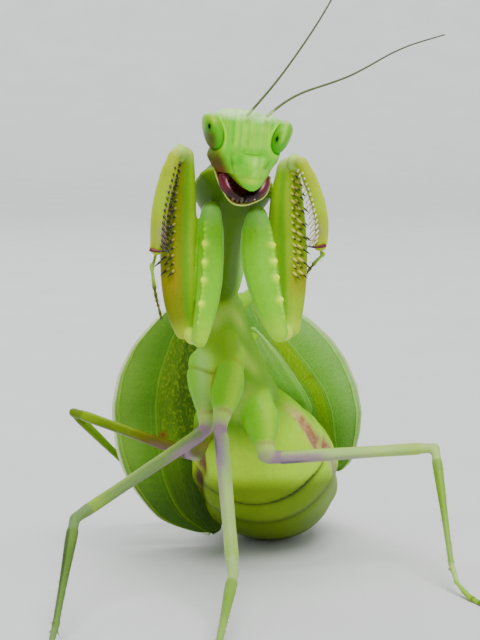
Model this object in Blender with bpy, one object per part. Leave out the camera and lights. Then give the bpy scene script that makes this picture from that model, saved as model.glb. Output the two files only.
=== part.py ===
"""A life-size model of a giant Asian praying mantis in its threat stance.

The animal faces -Y with +Z up.  Shapes are worked out in millimetres and written in metres.
Body, legs and feelers are lofts along smooth curves through a few named joints.
"""
import math

import bmesh
import bpy
from mathutils import Vector

# ---------------------------------------------------------------- driving dimensions, in millimetres
MM = 0.001
GAP = 0.3                     # clearance left between neighbouring plates
HEAD_CENTRE = Vector((0.75, 0.0, 50.95))
HEAD_ROLL = math.radians(6)  # the head leans to its own left
HEAD_YAW = math.radians(11)   # and looks a little to its own left
EYE_OUT = 3.4                 # from the middle of the head to the middle of an eye
EYE_UP = 1.6                  # height of the eyes above the head's centre
EYE_RADII = (1.35, 1.95, 2.05)  # half an eye's width, depth and height
EYE_LEAN = 0.1                # how far the top of an eye splays out, as a share of its height
PRONOTUM_FRONT = Vector((-0.4, 5.9, 49.4))
PRONOTUM_REAR = Vector((-2.4, 24.0, 34.2))
WING_THICKNESS = 0.5
ANTENNA_RADIUS = 0.27
FOOT_RADIUS = 0.34
SPINE_SIDES = 5
LEG_SIDES = 8
BODY_SIDES = 14
BELLY_SIDES = 18
HEAD_SIDES = 20

# Level rings of the head capsule in its own axes: height, half width, reach forward and back, squareness.
HEAD_ROWS = [(4.1, 2.2, 0.6, 0.9, 2.2), (3.9, 3.1, 1.3, 1.5, 2.3), (3.2, 3.8, 1.8, 2.0, 2.4),
             (2.2, 3.95, 2.1, 2.3, 2.3), (1.0, 3.95, 2.3, 2.4, 2.1), (0.0, 3.75, 2.4, 2.3, 1.9),
             (-0.9, 3.4, 2.4, 2.2, 1.7), (-1.6, 3.0, 2.35, 2.0, 1.55), (-2.1, 2.7, 2.3, 1.8, 1.5)]
# The same for the upper lip and for the scoop of the lower lip; a negative reach hollows the ring.
UPPER_LIP_ROWS = [(-2.45, 1.75, 2.3, -1.2), (-3.1, 1.35, 2.25, -1.35), (-3.7, 0.9, 2.1, -1.4),
                  (-4.05, 0.5, 1.95, -1.45)]
LOWER_LIP_ROWS = [(-2.5, 2.75, -0.5, 1.7), (-3.6, 2.7, -0.45, 1.6), (-4.6, 2.1, 0.1, 1.4), (-5.3, 1.3, 0.6, 1.0)]
# One jaw, of the animal's left side: x, y, z in the head's axes, half width, half depth.
JAW = [(2.2, 0.15, -2.75, 0.42, 0.8), (2.15, -0.1, -3.5, 0.45, 0.75), (1.6, -0.35, -4.3, 0.42, 0.6),
       (0.7, -0.5, -4.8, 0.3, 0.35)]
FEELER_ROOT = (0.95, -2.35, 3.45)  # in the head's axes
FEELERS = {
    "right": [(4.2, -1.6, 58.6), (8.6, 0.6, 65.0), (12.0, 3.4, 71.4)],
    "left": [(5.6, -1.2, 56.6), (11.4, 2.6, 58.6), (17.0, 7.4, 61.6), (22.6, 12.4, 63.4)],
}
# The prothorax: share of its length, half width, half depth.
PRONOTUM = [(0.0, 2.3, 1.7), (0.06, 3.3, 2.1), (0.15, 4.15, 2.35), (0.23, 4.25, 2.45), (0.33, 3.2, 2.25),
            (0.45, 2.3, 2.0), (0.62, 2.05, 1.95), (0.82, 2.3, 2.05), (0.94, 2.5, 2.1)]

# The raised forelegs: stations (x, y, z, half width) of coxa, femur and tibia, then claw tip and foot.
FORELEGS = {
    "right": dict(
        coxa=[(-3.1, 6.3, 44.6, 1.2), (-3.1, 5.0, 40.4, 1.38), (-3.3, 3.8, 36.2, 1.32), (-3.9, 2.8, 32.8, 1.0),
              (-4.4, 2.3, 30.3, 0.7)],
        femur=[(-5.5, 4.6, 31.0, 0.9), (-6.2, 4.8, 34.0, 1.7), (-6.4, 5.2, 38.7, 2.15), (-6.3, 5.6, 44.0, 1.8),
               (-6.0, 6.0, 48.8, 1.2), (-5.9, 6.2, 51.2, 0.9)],
        tibia=[(-6.7, 3.7, 50.8, 0.72), (-7.5, 3.1, 48.3, 0.82), (-8.3, 2.8, 45.2, 0.82),
               (-8.6, 2.8, 42.4, 0.76), (-8.7, 3.0, 40.3, 0.6)],
        claw=(-7.3, 2.5, 39.0), foot=[(-9.3, 3.3, 38.6), (-9.0, 4.0, 36.0), (-8.4, 4.3, 33.3)], outward=-1),
    "left": dict(
        coxa=[(1.8, 6.3, 44.0, 1.3), (1.9, 5.2, 40.9, 1.95), (2.4, 3.8, 37.3, 1.84), (3.4, 2.8, 33.7, 1.4),
              (4.4, 2.3, 31.0, 0.8)],
        femur=[(5.3, 5.3, 31.2, 0.9), (5.2, 6.9, 34.8, 1.75), (5.2, 8.0, 39.3, 2.1), (5.0, 8.7, 43.9, 2.0),
               (5.1, 9.1, 47.6, 1.45), (5.3, 9.3, 49.9, 1.0)],
        tibia=[(6.4, 7.0, 49.9, 0.7), (7.3, 6.5, 48.0, 0.72), (8.2, 6.2, 45.6, 0.72), (8.7, 6.1, 43.3, 0.66),
               (8.7, 6.1, 41.0, 0.55)],
        claw=(7.5, 5.5, 39.2), foot=[(8.9, 7.3, 39.7), (7.8, 10.2, 38.2), (6.2, 12.2, 35.6)], outward=1),
}
# Joints of the walking legs: socket, end of the trochanter, knee, ankle, toe, then half widths.
WALKING_LEGS = {
    "mid_right": dict(hip=(-4.3, 24.0, 26.2), trochanter=(-3.8, 19.0, 18.7), knee=(-17.8, 4.9, 11.4),
                      ankle=(-19.0, -8.5, 1.5), toe=(-20.6, -18.5, 0.45), coxa=1.65, femur=0.78, tibia=0.56),
    "mid_left": dict(hip=(-0.9, 22.2, 26.0), trochanter=(-2.2, 16.8, 19.3), knee=(-0.7, 1.3, 6.1),
                     ankle=(-2.4, -14.6, 1.5), toe=(-1.2, -24.6, 0.45), coxa=1.95, femur=0.78, tibia=0.56),
    "hind_right": dict(hip=(-3.0, 29.4, 21.0), trochanter=(-5.2, 27.4, 14.2), knee=(-20.9, 38.0, 18.0),
                       ankle=(-8.6, 56.0, 1.5), toe=(-5.4, 65.4, 0.45), coxa=1.6, femur=0.72, tibia=0.52),
    "hind_left": dict(hip=(2.6, 27.5, 20.6), trochanter=(3.6, 23.8, 14.6), knee=(23.5, 30.0, 14.8),
                      ankle=(24.5, 17.6, 1.6), toe=(28.6, 8.2, 0.45), coxa=1.9, femur=0.74, tibia=0.52),
}
# Axis of the hind body: x, y, z, half width, half depth.
TRUNK = [(-2.4, 24.9, 33.6, 2.4, 2.3), (-2.2, 25.7, 30.4, 3.1, 2.8), (-1.2, 27.2, 26.4, 3.3, 3.0),
         (0.4, 29.2, 22.2, 3.8, 3.4), (2.0, 32.0, 17.8, 6.2, 5.4)]
BELLY = [(1.0, 30.6, 19.8, 5.0, 4.4), (1.9, 33.4, 15.6, 7.4, 6.2), (2.7, 37.0, 12.4, 8.7, 7.3),
         (3.3, 41.4, 10.0, 9.0, 8.0), (3.7, 46.6, 8.1, 8.7, 8.2), (4.0, 52.0, 7.8, 7.9, 7.5),
         (4.1, 57.2, 7.9, 6.4, 6.1), (4.2, 62.0, 8.4, 4.4, 4.2), (4.2, 66.2, 9.2, 2.1, 1.9)]
BELLY_GAP = 0.012             # share of the hind body left open between two rings
BELLY_CUTS = [0.0, 0.16, 0.31, 0.45, 0.58, 0.71, 0.84, 1.0]
BELLY_TUCK = (0.955, 0.985, 1.0, 1.0, 0.99)  # how each ring swells from its front edge to its back edge
CERCUS = [(1.5, 2.2, -0.1, 0.36), (2.2, 4.2, 0.0, 0.42), (2.5, 6.2, 0.4, 0.27)]  # from the end of the belly
# Front rim and inner edge of each wing, then how it bows.
TEGMINA = {
    "right": dict(rim=[(-5.0, 28.0, 33.8), (-8.6, 30.0, 31.7), (-13.3, 32.5, 26.3), (-15.7, 35.3, 19.8),
                       (-15.2, 38.0, 11.9), (-12.9, 39.6, 7.0), (-9.5, 41.2, 2.9), (-5.2, 42.3, 0.9)],
                  inner=[(-3.6, 29.4, 32.6), (-3.4, 31.0, 29.4), (-3.5, 33.4, 25.0), (-4.3, 36.0, 20.0),
                         (-5.6, 38.4, 14.6), (-6.2, 40.0, 9.6), (-4.6, 41.5, 4.6), (-1.2, 42.5, 1.3)],
                  lift=(-0.25, 0.9, 0.35)),
    "left": dict(rim=[(0.6, 28.2, 34.0), (3.8, 29.6, 33.1), (7.1, 32.0, 30.9), (11.0, 35.5, 27.5),
                      (13.9, 39.6, 22.8), (15.6, 44.6, 17.0), (15.3, 48.6, 11.8), (14.3, 51.6, 7.0)],
                 inner=[(0.2, 30.2, 32.2), (0.4, 33.0, 28.8), (1.6, 36.6, 25.0), (3.8, 41.0, 21.4),
                        (7.4, 45.2, 18.6), (10.4, 48.0, 15.4), (12.8, 50.2, 11.4), (13.6, 51.9, 7.6)],
                 lift=(0.1, 0.72, 0.68)),
}
HINDWINGS = {
    "right": dict(rim=[(-2.9, 30.6, 29.4), (-2.5, 34.0, 25.0), (-2.9, 37.8, 21.2), (-3.4, 42.2, 17.6),
                       (-2.8, 47.0, 16.0), (-0.6, 52.0, 15.4), (2.2, 56.4, 14.8)],
                  inner=[(-1.6, 30.8, 28.6), (-0.8, 33.4, 24.8), (0.2, 37.0, 21.8), (1.0, 41.2, 19.6),
                         (1.8, 46.4, 17.4), (2.6, 51.6, 16.0), (3.1, 56.0, 14.9)],
                  lift=(0.0, 0.9, 0.4)),
    "left": dict(rim=[(1.6, 29.8, 29.6), (4.6, 33.2, 26.0), (7.2, 37.4, 21.8), (9.0, 42.2, 18.2),
                      (9.2, 47.0, 15.9), (7.4, 52.0, 15.5), (5.4, 56.4, 14.8)],
                 inner=[(1.0, 30.6, 28.0), (1.2, 33.2, 24.6), (1.6, 36.8, 21.8), (2.2, 41.0, 19.6),
                        (2.8, 46.4, 17.4), (3.6, 51.6, 16.0), (4.2, 56.0, 14.9)],
                 lift=(0.0, 0.9, 0.4)),
}

# Colour and roughness of each finish.
FINISHES = {
    "face_green": ((0.36, 0.60, 0.10), 0.38),
    "eye_green": ((0.24, 0.52, 0.05), 0.22),
    "leg_green": ((0.36, 0.50, 0.12), 0.42),
    "coxa_green": ((0.28, 0.50, 0.15), 0.45),
    "belly_green": ((0.36, 0.54, 0.13), 0.40),
    "wing_green": ((0.20, 0.40, 0.06), 0.42),
    "hindwing_clear": ((0.30, 0.46, 0.22), 0.35),
    "feeler_brown": ((0.22, 0.25, 0.12), 0.50),
    "mouth_dark": ((0.20, 0.04, 0.04), 0.30),
    "lip_cream": ((0.55, 0.60, 0.30), 0.40),
}


# ---------------------------------------------------------------- building blocks
def finish(name):
    """The material of one finish, made the first time it is asked for."""
    if name in bpy.data.materials:
        return bpy.data.materials[name]
    colour, roughness = FINISHES[name]
    material = bpy.data.materials.new(name)
    material.use_nodes = True
    shader = material.node_tree.nodes["Principled BSDF"]
    shader.inputs["Base Color"].default_value = (*colour, 1.0)
    shader.inputs["Roughness"].default_value = roughness
    material.diffuse_color = (*colour, 1.0)
    return material


def spline(keys, count, start=0.0, end=1.0):
    """Points of a Catmull-Rom curve through keys, from start to end of its length in keys."""
    ends = [Vector(key) for key in keys]
    ends = [2 * ends[0] - ends[1]] + ends + [2 * ends[-1] - ends[-2]]
    spans = len(keys) - 1
    points = []
    for step in range(count):
        at = (start + (end - start) * step / (count - 1)) * spans
        first = min(int(at), spans - 1)
        t = at - first
        a, b, c, d = ends[first:first + 4]
        points.append(0.5 * (2 * b + (c - a) * t + (2 * a - 5 * b + 4 * c - d) * t ** 2
                             + (3 * b - a - 3 * c + d) * t ** 3))
    return points


def tangents(points):
    """Unit directions of travel along a row of points."""
    last = len(points) - 1
    return [(points[min(i + 1, last)] - points[max(i - 1, 0)]).normalized() for i in range(last + 1)]


def slice_of(keys, count, start, end):
    """Stations of one length of a curve, with the curve's own directions, so that cut ends are parallel."""
    stations = spline(keys, count, start, end)
    ahead = spline(keys, count, min(start + 0.004, 0.996), min(end + 0.004, 1.0))
    behind = spline(keys, count, max(start - 0.004, 0.0), max(end - 0.004, 0.004))
    ways = [(Vector(a[:3]) - Vector(b[:3])).normalized() for a, b in zip(ahead, behind)]
    return stations, ways


def skin(rings, start_pole=None, end_pole=None):
    """A bmesh over rings of equal count, closed by poles or by flat ends."""
    shape = bmesh.new()
    loops = [[shape.verts.new(point) for point in ring] for ring in rings]
    count = len(rings[0])
    for low, high in zip(loops, loops[1:]):
        for i in range(count):
            shape.faces.new((low[i], low[(i + 1) % count], high[(i + 1) % count], high[i]))
    for loop, pole in ((loops[0], start_pole), (loops[-1], end_pole)):
        if pole is None:
            shape.faces.new(loop)
            continue
        tip = shape.verts.new(pole)
        for i in range(count):
            shape.faces.new((loop[i], loop[(i + 1) % count], tip))
    bmesh.ops.recalc_face_normals(shape, faces=shape.faces)
    return shape


def loft(stations, sides, across, round_ends=(True, True), power=2.0, grow=0.0, ways=None):
    """A tube over stations (x, y, z, half width, half depth); across is the way its width runs."""
    centres = [Vector(station[:3]) for station in stations]
    ways = ways or tangents(centres)
    rings = []
    frames = []
    for centre, way, station in zip(centres, ways, stations):
        side = (across - across.dot(way) * way).normalized()
        face = way.cross(side)
        frames.append((side, face))
        rings.append(section(centre, side, face, station[3] + grow, station[4] + grow, sides, power))
    poles = [None, None]
    for end, rounded in enumerate(round_ends):
        if not rounded:
            continue
        at = -end
        centre, way, (side, face) = centres[at], ways[at] * (2 * end - 1), frames[at]
        wide, deep = stations[at][3] + grow, stations[at][4] + grow
        reach = 0.9 * min(wide, deep)
        ring = section(centre + 0.62 * reach * way, side, face, 0.75 * wide, 0.75 * deep, sides, power)
        rings.insert(0 if end == 0 else len(rings), ring)
        poles[end] = centre + reach * way
    return skin(rings, *poles)


def section(centre, side, face, wide, deep, sides, power):
    """One ring, a superellipse."""
    ring = []
    for i in range(sides):
        angle = 2 * math.pi * i / sides
        c, s = math.cos(angle), math.sin(angle)
        u = math.copysign(abs(c) ** (2 / power), c) * wide
        v = math.copysign(abs(s) ** (2 / power), s) * deep
        ring.append(centre + u * side + v * face)
    return ring


def node(name, shape, material, hidden=False):
    """Put a bmesh into the scene as a named object, in metres."""
    bmesh.ops.scale(shape, vec=(MM, MM, MM), verts=shape.verts)
    mesh = bpy.data.meshes.new(name)
    shape.to_mesh(mesh)
    shape.free()
    mesh.materials.append(finish(material))
    mesh.shade_smooth()
    mesh.set_sharp_from_angle(angle=math.radians(50))
    thing = bpy.data.objects.new(name, mesh)
    bpy.context.scene.collection.objects.link(thing)
    thing.parent = bpy.data.objects["mantis"]
    if hidden:
        thing.hide_render = True
        thing.display_type = "WIRE"
    return thing


def boolean(target, helper, operation):
    """Add an exact Boolean of a helper object to target."""
    modifier = target.modifiers.new(helper.name, "BOOLEAN")
    modifier.operation = operation
    modifier.solver = "EXACT"
    modifier.object = helper


def carve(target, shape, label):
    """Cut the bmesh shape out of target."""
    boolean(target, node(target.name + "_" + label, shape, "leg_green", hidden=True), "DIFFERENCE")


def flatten(shape):
    """Cut off all that lies below the floor and close the cut with a flat."""
    cut = bmesh.ops.bisect_plane(shape, geom=shape.verts[:] + shape.edges[:] + shape.faces[:],
                                 plane_co=(0, 0, 0), plane_no=(0, 0, -1), clear_outer=True)
    edges = [item for item in cut["geom_cut"] if isinstance(item, bmesh.types.BMEdge)]
    if edges:
        bmesh.ops.contextual_create(shape, geom=edges)
        bmesh.ops.recalc_face_normals(shape, faces=shape.faces)
    return shape


def spine_row(places):
    """Sharp spines as one bmesh of separate cones: (root, tip, radius) for each."""
    row = bmesh.new()
    for root, tip, radius in places:
        way = (tip - root).normalized()
        side = way.orthogonal().normalized()
        face = way.cross(side)
        ring = [row.verts.new(root + radius * (math.cos(a) * side + math.sin(a) * face))
                for a in (2 * math.pi * i / SPINE_SIDES for i in range(SPINE_SIDES))]
        point = row.verts.new(tip)
        row.faces.new(ring)
        for i in range(SPINE_SIDES):
            row.faces.new((ring[i], ring[(i + 1) % SPINE_SIDES], point))
    bmesh.ops.recalc_face_normals(row, faces=row.faces)
    return row


def between(a, b, t):
    """The point a share t of the way from a to b."""
    return Vector(a) + (Vector(b) - Vector(a)) * t


# ---------------------------------------------------------------- head
def head_point(x, y, z):
    """A place given in the head's own axes: x to its left, y back, z up."""
    yawed = Vector((x * math.cos(HEAD_YAW) - y * math.sin(HEAD_YAW),
                    x * math.sin(HEAD_YAW) + y * math.cos(HEAD_YAW), z))
    return HEAD_CENTRE + Vector((yawed.x * math.cos(HEAD_ROLL) + yawed.z * math.sin(HEAD_ROLL), yawed.y,
                                 -yawed.x * math.sin(HEAD_ROLL) + yawed.z * math.cos(HEAD_ROLL)))


def head_ring(height, wide, front, back, sides, power):
    """A level ring of the head: half width, and its reach to the front and to the back."""
    ring = []
    for i in range(sides):
        angle = 2 * math.pi * i / sides
        c, s = math.cos(angle), math.sin(angle)
        depth = back if s > 0 else front
        ring.append(head_point(math.copysign(abs(c) ** (2 / power), c) * wide,
                               math.copysign(abs(s) ** (2 / power), s) * depth, height))
    return ring


def eye_shape(side, grow=0.0):
    """One bulging compound eye, taller than wide, splayed outwards at the top."""
    rows, sides = 8, 14
    wide, deep, tall = EYE_RADII
    rings = []
    for row in range(1, rows):
        polar = math.pi * row / rows
        ring = []
        for i in range(sides):
            angle = 2 * math.pi * i / sides
            out = (wide + grow) * math.sin(polar) * math.cos(angle)
            depth = (deep + grow) * math.sin(polar) * math.sin(angle)
            height = (tall + grow) * math.cos(polar)
            ring.append(head_point(side * (EYE_OUT + out + EYE_LEAN * height), depth - 0.1, EYE_UP + height))
        rings.append(ring)
    poles = [head_point(side * (EYE_OUT + EYE_LEAN * h), -0.1, EYE_UP + h) for h in (tall + grow, -tall - grow)]
    return skin(rings, *poles)


def build_head():
    """Triangular head capsule with its eyes, feelers and the open mouth below the face."""
    rings = [head_ring(z, w, f, b, HEAD_SIDES, power) for z, w, f, b, power in HEAD_ROWS]
    head = node("head", skin(rings), "face_green")
    for side, label in ((-1, "right"), (1, "left")):
        node("eye_" + label, eye_shape(side), "eye_green")
        carve(head, eye_shape(side, GAP), "socket_" + label)
    build_mouth()
    for side, label in ((-1, "right"), (1, "left")):
        build_antenna(side, label)


def jaw_shape(side, grow=0.0):
    """One curved biting jaw, which opens sideways behind the upper lip."""
    stations = [(*head_point(side * key[0], key[1], key[2]), key[3], key[4]) for key in spline(JAW, 5)]
    return loft(stations, 8, Vector((1, 0, 0)), grow=grow)


def build_mouth():
    """Upper lip in front, biting jaws behind it and the scoop of the lower lip under them."""
    node("labrum", skin([head_ring(*row, 12, 1.8) for row in UPPER_LIP_ROWS]), "face_green")
    labium = node("labium", skin([head_ring(*row, 16, 2.2) for row in LOWER_LIP_ROWS]), "lip_cream")
    for side, label in ((-1, "right"), (1, "left")):
        node("mandible_" + label, jaw_shape(side), "mouth_dark")
        carve(labium, jaw_shape(side, GAP), "jaw_" + label)


def build_antenna(side, label):
    """A thin feeler that rises from the brow, thicker at its root, and bends to the animal's left."""
    x, y, z = FEELER_ROOT
    points = spline([head_point(side * x, y, z)] + FEELERS[label], 11)
    stations = [(*p, *(2 * [ANTENNA_RADIUS * (1.5 if i == 0 else 1.0)])) for i, p in enumerate(points)]
    node("antenna_" + label, loft(stations, 6, Vector((0.2, 1, 0.1))), "feeler_brown")


# ---------------------------------------------------------------- body
def pronotum_point(along):
    """A point of the prothorax axis, this far behind its front end."""
    return PRONOTUM_FRONT + along * (PRONOTUM_REAR - PRONOTUM_FRONT).normalized()


def prothorax_shape(grow=0.0):
    """The long first ring of the body, widened over the forelegs and keeled along its back."""
    length = (PRONOTUM_REAR - PRONOTUM_FRONT).length
    stations = [(*pronotum_point(k * length), w, d) for k, w, d in spline(PRONOTUM, 13)]
    return loft(stations, BODY_SIDES, Vector((1, 0, 0)), (False, True), 1.75, grow)


def build_thorax():
    """Neck, the long prothorax, and the two rings that carry the wings and the walking legs."""
    neck = [(*between(head_point(0, 2.9, -0.2), pronotum_point(-0.35), t), 1.3, 1.15) for t in (0, 0.5, 1)]
    node("neck", loft(neck, 10, Vector((1, 0, 0)), (False, False)), "leg_green")
    prothorax = node("prothorax", prothorax_shape(), "coxa_green")
    for label in FORELEGS:
        carve(prothorax, coxa_shape(label, GAP), "socket_" + label)
    for name, start, end in (("mesothorax", 0.0, 0.46), ("metathorax", 0.485, 0.82)):
        stations, ways = slice_of(TRUNK, 6, start, end)
        body = node(name, loft(stations, BODY_SIDES, Vector((1, 0, 0)), (name == "mesothorax", False), 2.2,
                               ways=ways), "coxa_green")
        for label in WALKING_LEGS:
            if label.startswith("mid") == (name == "mesothorax") or label == "mid_left":
                carve(body, walking_coxa_shape(label, GAP), "socket_" + label)
        if name == "mesothorax":
            carve(body, prothorax_shape(GAP), "waist")


def build_abdomen():
    """Seven rings of the swollen hind body, and the two short tail feelers.

    The flat on which the belly rests becomes the origin of the whole model.
    """
    for ring, (start, end) in enumerate(zip(BELLY_CUTS, BELLY_CUTS[1:]), 1):
        last = ring == len(BELLY_CUTS) - 1
        stations, ways = slice_of(BELLY, 5, start, end if last else end - BELLY_GAP)
        stations = [(*p[:3], p[3] * tuck, p[4] * tuck) for p, tuck in zip(stations, BELLY_TUCK)]
        shape = loft(stations, BELLY_SIDES, Vector((1, 0, 0)), (False, last), 2.1, ways=ways)
        flatten(shape)
        floor_points = [vert.co.copy() for vert in shape.verts if abs(vert.co.z) < 1e-5]
        if floor_points:
            bpy.data.objects["mantis"].location = -MM * sum(floor_points, Vector()) / len(floor_points)
        body = node("abdomen_%d" % ring, shape, "belly_green")
        if ring == 1:
            for label in ("hind_left", "hind_right"):
                carve(body, walking_coxa_shape(label, GAP), "socket_" + label)
    for side, label in ((-1, "right"), (1, "left")):
        keys = [(*(Vector(BELLY[-1][:3]) + Vector((side * x, y, z))), r, r) for x, y, z, r in CERCUS]
        node("cercus_" + label, loft(spline(keys, 5), 8, Vector((1, 0, 0))), "leg_green")


# ---------------------------------------------------------------- legs
def coxa_shape(label, grow=0.0):
    """The long flattened first length of a foreleg, which hangs down before the breast."""
    keys = [(*key, 0.55 + 0.35 * key[3]) for key in FORELEGS[label]["coxa"]]
    return loft(spline(keys, 8), 10, Vector((1, 0, 0)), power=1.9, grow=grow)


def femur_shape(label, grow=0.0):
    """The broad grasping thigh, widest a third of the way up."""
    keys = [(*key, 0.55 + 0.28 * key[3]) for key in FORELEGS[label]["femur"]]
    return loft(spline(keys, 10), 10, Vector((1, 0, 0)), grow=grow)


def build_forelegs():
    """Coxa, femur, tibia with its claw, and tarsus of both grasping legs."""
    for label, leg in FORELEGS.items():
        node("fore_coxa_" + label, coxa_shape(label), "coxa_green")
        femur = node("fore_femur_" + label, femur_shape(label), "leg_green")
        shin = spline([(*key, 0.25 + 0.6 * key[3]) for key in leg["tibia"]], 9)
        tibia = node("fore_tibia_" + label, loft(shin, 8, Vector((1, 0, 0))), "leg_green")
        boolean(femur, node("thigh_spines_" + label, thigh_spines(leg), "leg_green", True), "UNION")
        boolean(tibia, node("shin_spines_" + label, shin_spines(leg, shin), "leg_green", True), "UNION")
        claw = spine_row([(Vector(leg["tibia"][-1][:3]), Vector(leg["claw"]), 0.45)])
        boolean(tibia, node("claw_" + label, claw, "mouth_dark", True), "UNION")
        carve(femur, coxa_shape(label, GAP), "elbow")
        carve(tibia, femur_shape(label, GAP), "fold")
        stations = [(*p, 0.36 - 0.018 * i, 0.36 - 0.018 * i) for i, p in enumerate(spline(leg["foot"], 6))]
        node("fore_tarsus_" + label, loft(stations, 6, Vector((1, 0, 0))), "leg_green")


def thigh_spines(leg):
    """Long and short spines along the edge of the thigh that faces the shin."""
    places = []
    out = leg["outward"]
    for forward, count, reach, low, high in ((0.75, 6, 1.5, 0.28, 0.78), (-0.1, 9, 0.9, 0.3, 0.9)):
        for x, y, z, wide in spline(leg["femur"], count, low, high):
            root = Vector((x + out * 0.55 * wide, y - forward, z))
            places.append((root, root + Vector((out * reach * 0.9, -forward * 0.55, 0.35 * reach)), 0.27))
    return spine_row(places)


def shin_spines(leg, shin):
    """Two rows of spines along the inner edge of the shin."""
    places = []
    out = leg["outward"]
    for forward, count, reach in ((0.4, 7, 1.0), (-0.3, 8, 0.8)):
        for x, y, z, wide, deep in spline(shin, count, 0.22, 0.97):
            root = Vector((x - out * 0.4 * wide, y - forward * deep, z))
            places.append((root, root + Vector((-out * (0.5 * wide + reach), -forward * 0.3, -0.4)), 0.22))
    return spine_row(places)


def walking_coxa_shape(label, grow=0.0):
    """The stout first length of a walking leg, ending in the narrow trochanter."""
    leg = WALKING_LEGS[label]
    hip, end = Vector(leg["hip"]), Vector(leg["trochanter"])
    wide = leg["coxa"]
    keys = [(*hip, wide * 0.7, wide * 0.6), (*between(hip, end, 0.3), wide, wide * 0.8),
            (*between(hip, end, 0.6), wide * 0.8, wide * 0.7), (*between(hip, end, 0.86), 0.85, 0.85),
            (*end, 0.85, 0.85)]
    return loft(spline(keys, 7), 10, Vector((1, 0, 0)), grow=grow)


def build_walking_legs():
    """Coxa, femur, tibia and tarsus of the four slender legs that carry the body."""
    for label, leg in WALKING_LEGS.items():
        coxa = node(label.replace("_", "_coxa_"), walking_coxa_shape(label), "coxa_green")
        if label == "mid_right":
            carve(coxa, walking_coxa_shape("mid_left", GAP), "neighbour")
        joints = [Vector(leg[key]) for key in ("trochanter", "knee", "ankle", "toe")]
        for part, start, end, first, last, trims in (
                ("_femur_", 0, 1, leg["femur"], leg["femur"] * 0.8, (1.5, 0.9)),
                ("_tibia_", 1, 2, leg["tibia"] * 1.15, leg["tibia"] * 0.8, (1.0, 0.7))):
            way = (joints[end] - joints[start]).normalized()
            a, b = joints[start] + trims[0] * way, joints[end] - trims[1] * way
            keys = [(*between(a, b, t), *(2 * [first + (last - first) * t])) for t in (0, 0.25, 0.5, 0.75, 1)]
            node(label.replace("_", part), loft(keys, LEG_SIDES, Vector((0.3, 0.5, 1))), "leg_green")
        build_tarsus(label, joints[2], joints[3])


def build_tarsus(label, ankle, toe):
    """Five jointed foot lengths that lie along the floor, with two claws."""
    way = (toe - ankle).normalized()
    keys = [ankle + 0.5 * way, Vector((*between(ankle, toe, 0.4)[:2], 0.32)), Vector((*toe[:2], 0.28))]
    stations = [(*p, FOOT_RADIUS, FOOT_RADIUS) for p in spline(keys, 7)]
    foot = loft(stations, 6, Vector((0.3, 0.2, 1)))
    node(label.replace("_", "_tarsus_"), flatten(foot), "leg_green")


# ---------------------------------------------------------------- wings
def sheet(wing, rows, columns, camber):
    """A wing between its front rim and its inner edge, cambered, with an even thickness."""
    lift = Vector(wing["lift"])
    outer = spline(wing["rim"], rows)
    inside = spline(wing["inner"], rows)
    grid = []
    for a, b in zip(outer, inside):
        row = [a + (b - a) * c / (columns - 1) for c in range(columns)]
        bow = [camber * math.sin(math.pi * c / (columns - 1)) * (b - a).length for c in range(columns)]
        grid.append([p + lift * k for p, k in zip(row, bow)])
    shape = bmesh.new()
    faces = []
    for offset in (0.0, WING_THICKNESS):
        layer = [[shape.verts.new(p + offset * lift) for p in row] for row in grid]
        faces.append(layer)
        for r in range(rows - 1):
            for c in range(columns - 1):
                shape.faces.new((layer[r][c], layer[r][c + 1], layer[r + 1][c + 1], layer[r + 1][c]))
    edge = [(r, 0) for r in range(rows)] + [(rows - 1, c) for c in range(1, columns)]
    edge += [(r, columns - 1) for r in range(rows - 2, -1, -1)] + [(0, c) for c in range(columns - 2, 0, -1)]
    for (r, c), (s, d) in zip(edge, edge[1:] + edge[:1]):
        shape.faces.new((faces[0][r][c], faces[0][s][d], faces[1][s][d], faces[1][r][c]))
    bmesh.ops.recalc_face_normals(shape, faces=shape.faces)
    return shape


def build_wings():
    """Broad leathery forewings spread like a shield, with the thinner hindwings before them."""
    for label, wing in TEGMINA.items():
        node("tegmen_" + label, sheet(wing, 12, 6, 0.04), "wing_green")
    for label, wing in HINDWINGS.items():
        node("hindwing_" + label, sheet(wing, 10, 4, 0.03), "hindwing_clear")


# ---------------------------------------------------------------- the whole animal
def main():
    for thing in list(bpy.data.objects):
        bpy.data.objects.remove(thing)
    mantis = bpy.data.objects.new("mantis", None)
    bpy.context.scene.collection.objects.link(mantis)
    build_head()
    build_thorax()
    build_abdomen()
    build_forelegs()
    build_walking_legs()
    build_wings()


main()
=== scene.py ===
"""Looks of the praying mantis model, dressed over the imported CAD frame.

Lengths are worked out in millimetres from the frame's own solids and written in metres.
"""
import math

import bmesh
import bpy
import numpy as np
from mathutils import Matrix, Vector, kdtree


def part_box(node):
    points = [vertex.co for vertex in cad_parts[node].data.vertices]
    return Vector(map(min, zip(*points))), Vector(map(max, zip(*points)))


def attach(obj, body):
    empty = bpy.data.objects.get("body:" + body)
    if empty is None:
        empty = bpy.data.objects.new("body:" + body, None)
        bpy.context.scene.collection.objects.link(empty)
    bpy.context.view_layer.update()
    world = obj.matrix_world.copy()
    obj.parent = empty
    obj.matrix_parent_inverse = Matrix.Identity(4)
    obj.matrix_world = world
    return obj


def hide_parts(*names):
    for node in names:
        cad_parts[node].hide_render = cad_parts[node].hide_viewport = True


MM = 0.001
MM_SCALE = Matrix.Scale(MM, 4)
SKIN_VOXEL = 0.13             # millimetres
VIVID = 1.45                  # how much the shell's colours are strengthened for soft studio light
GREEN_DEPTH = (0.5, 0.9, 0.15)   # how far each colour of light travels inside the cuticle
RNG = np.random.default_rng(11)
PATH_POINTS = 400             # places along the middle line from which the rings of a limb are set out
FEWEST_POINTS = 6             # crossings a section must have to be measured
BLUNT_TIP = 0.0004            # least squared share of its radius that a rounded end keeps

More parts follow.
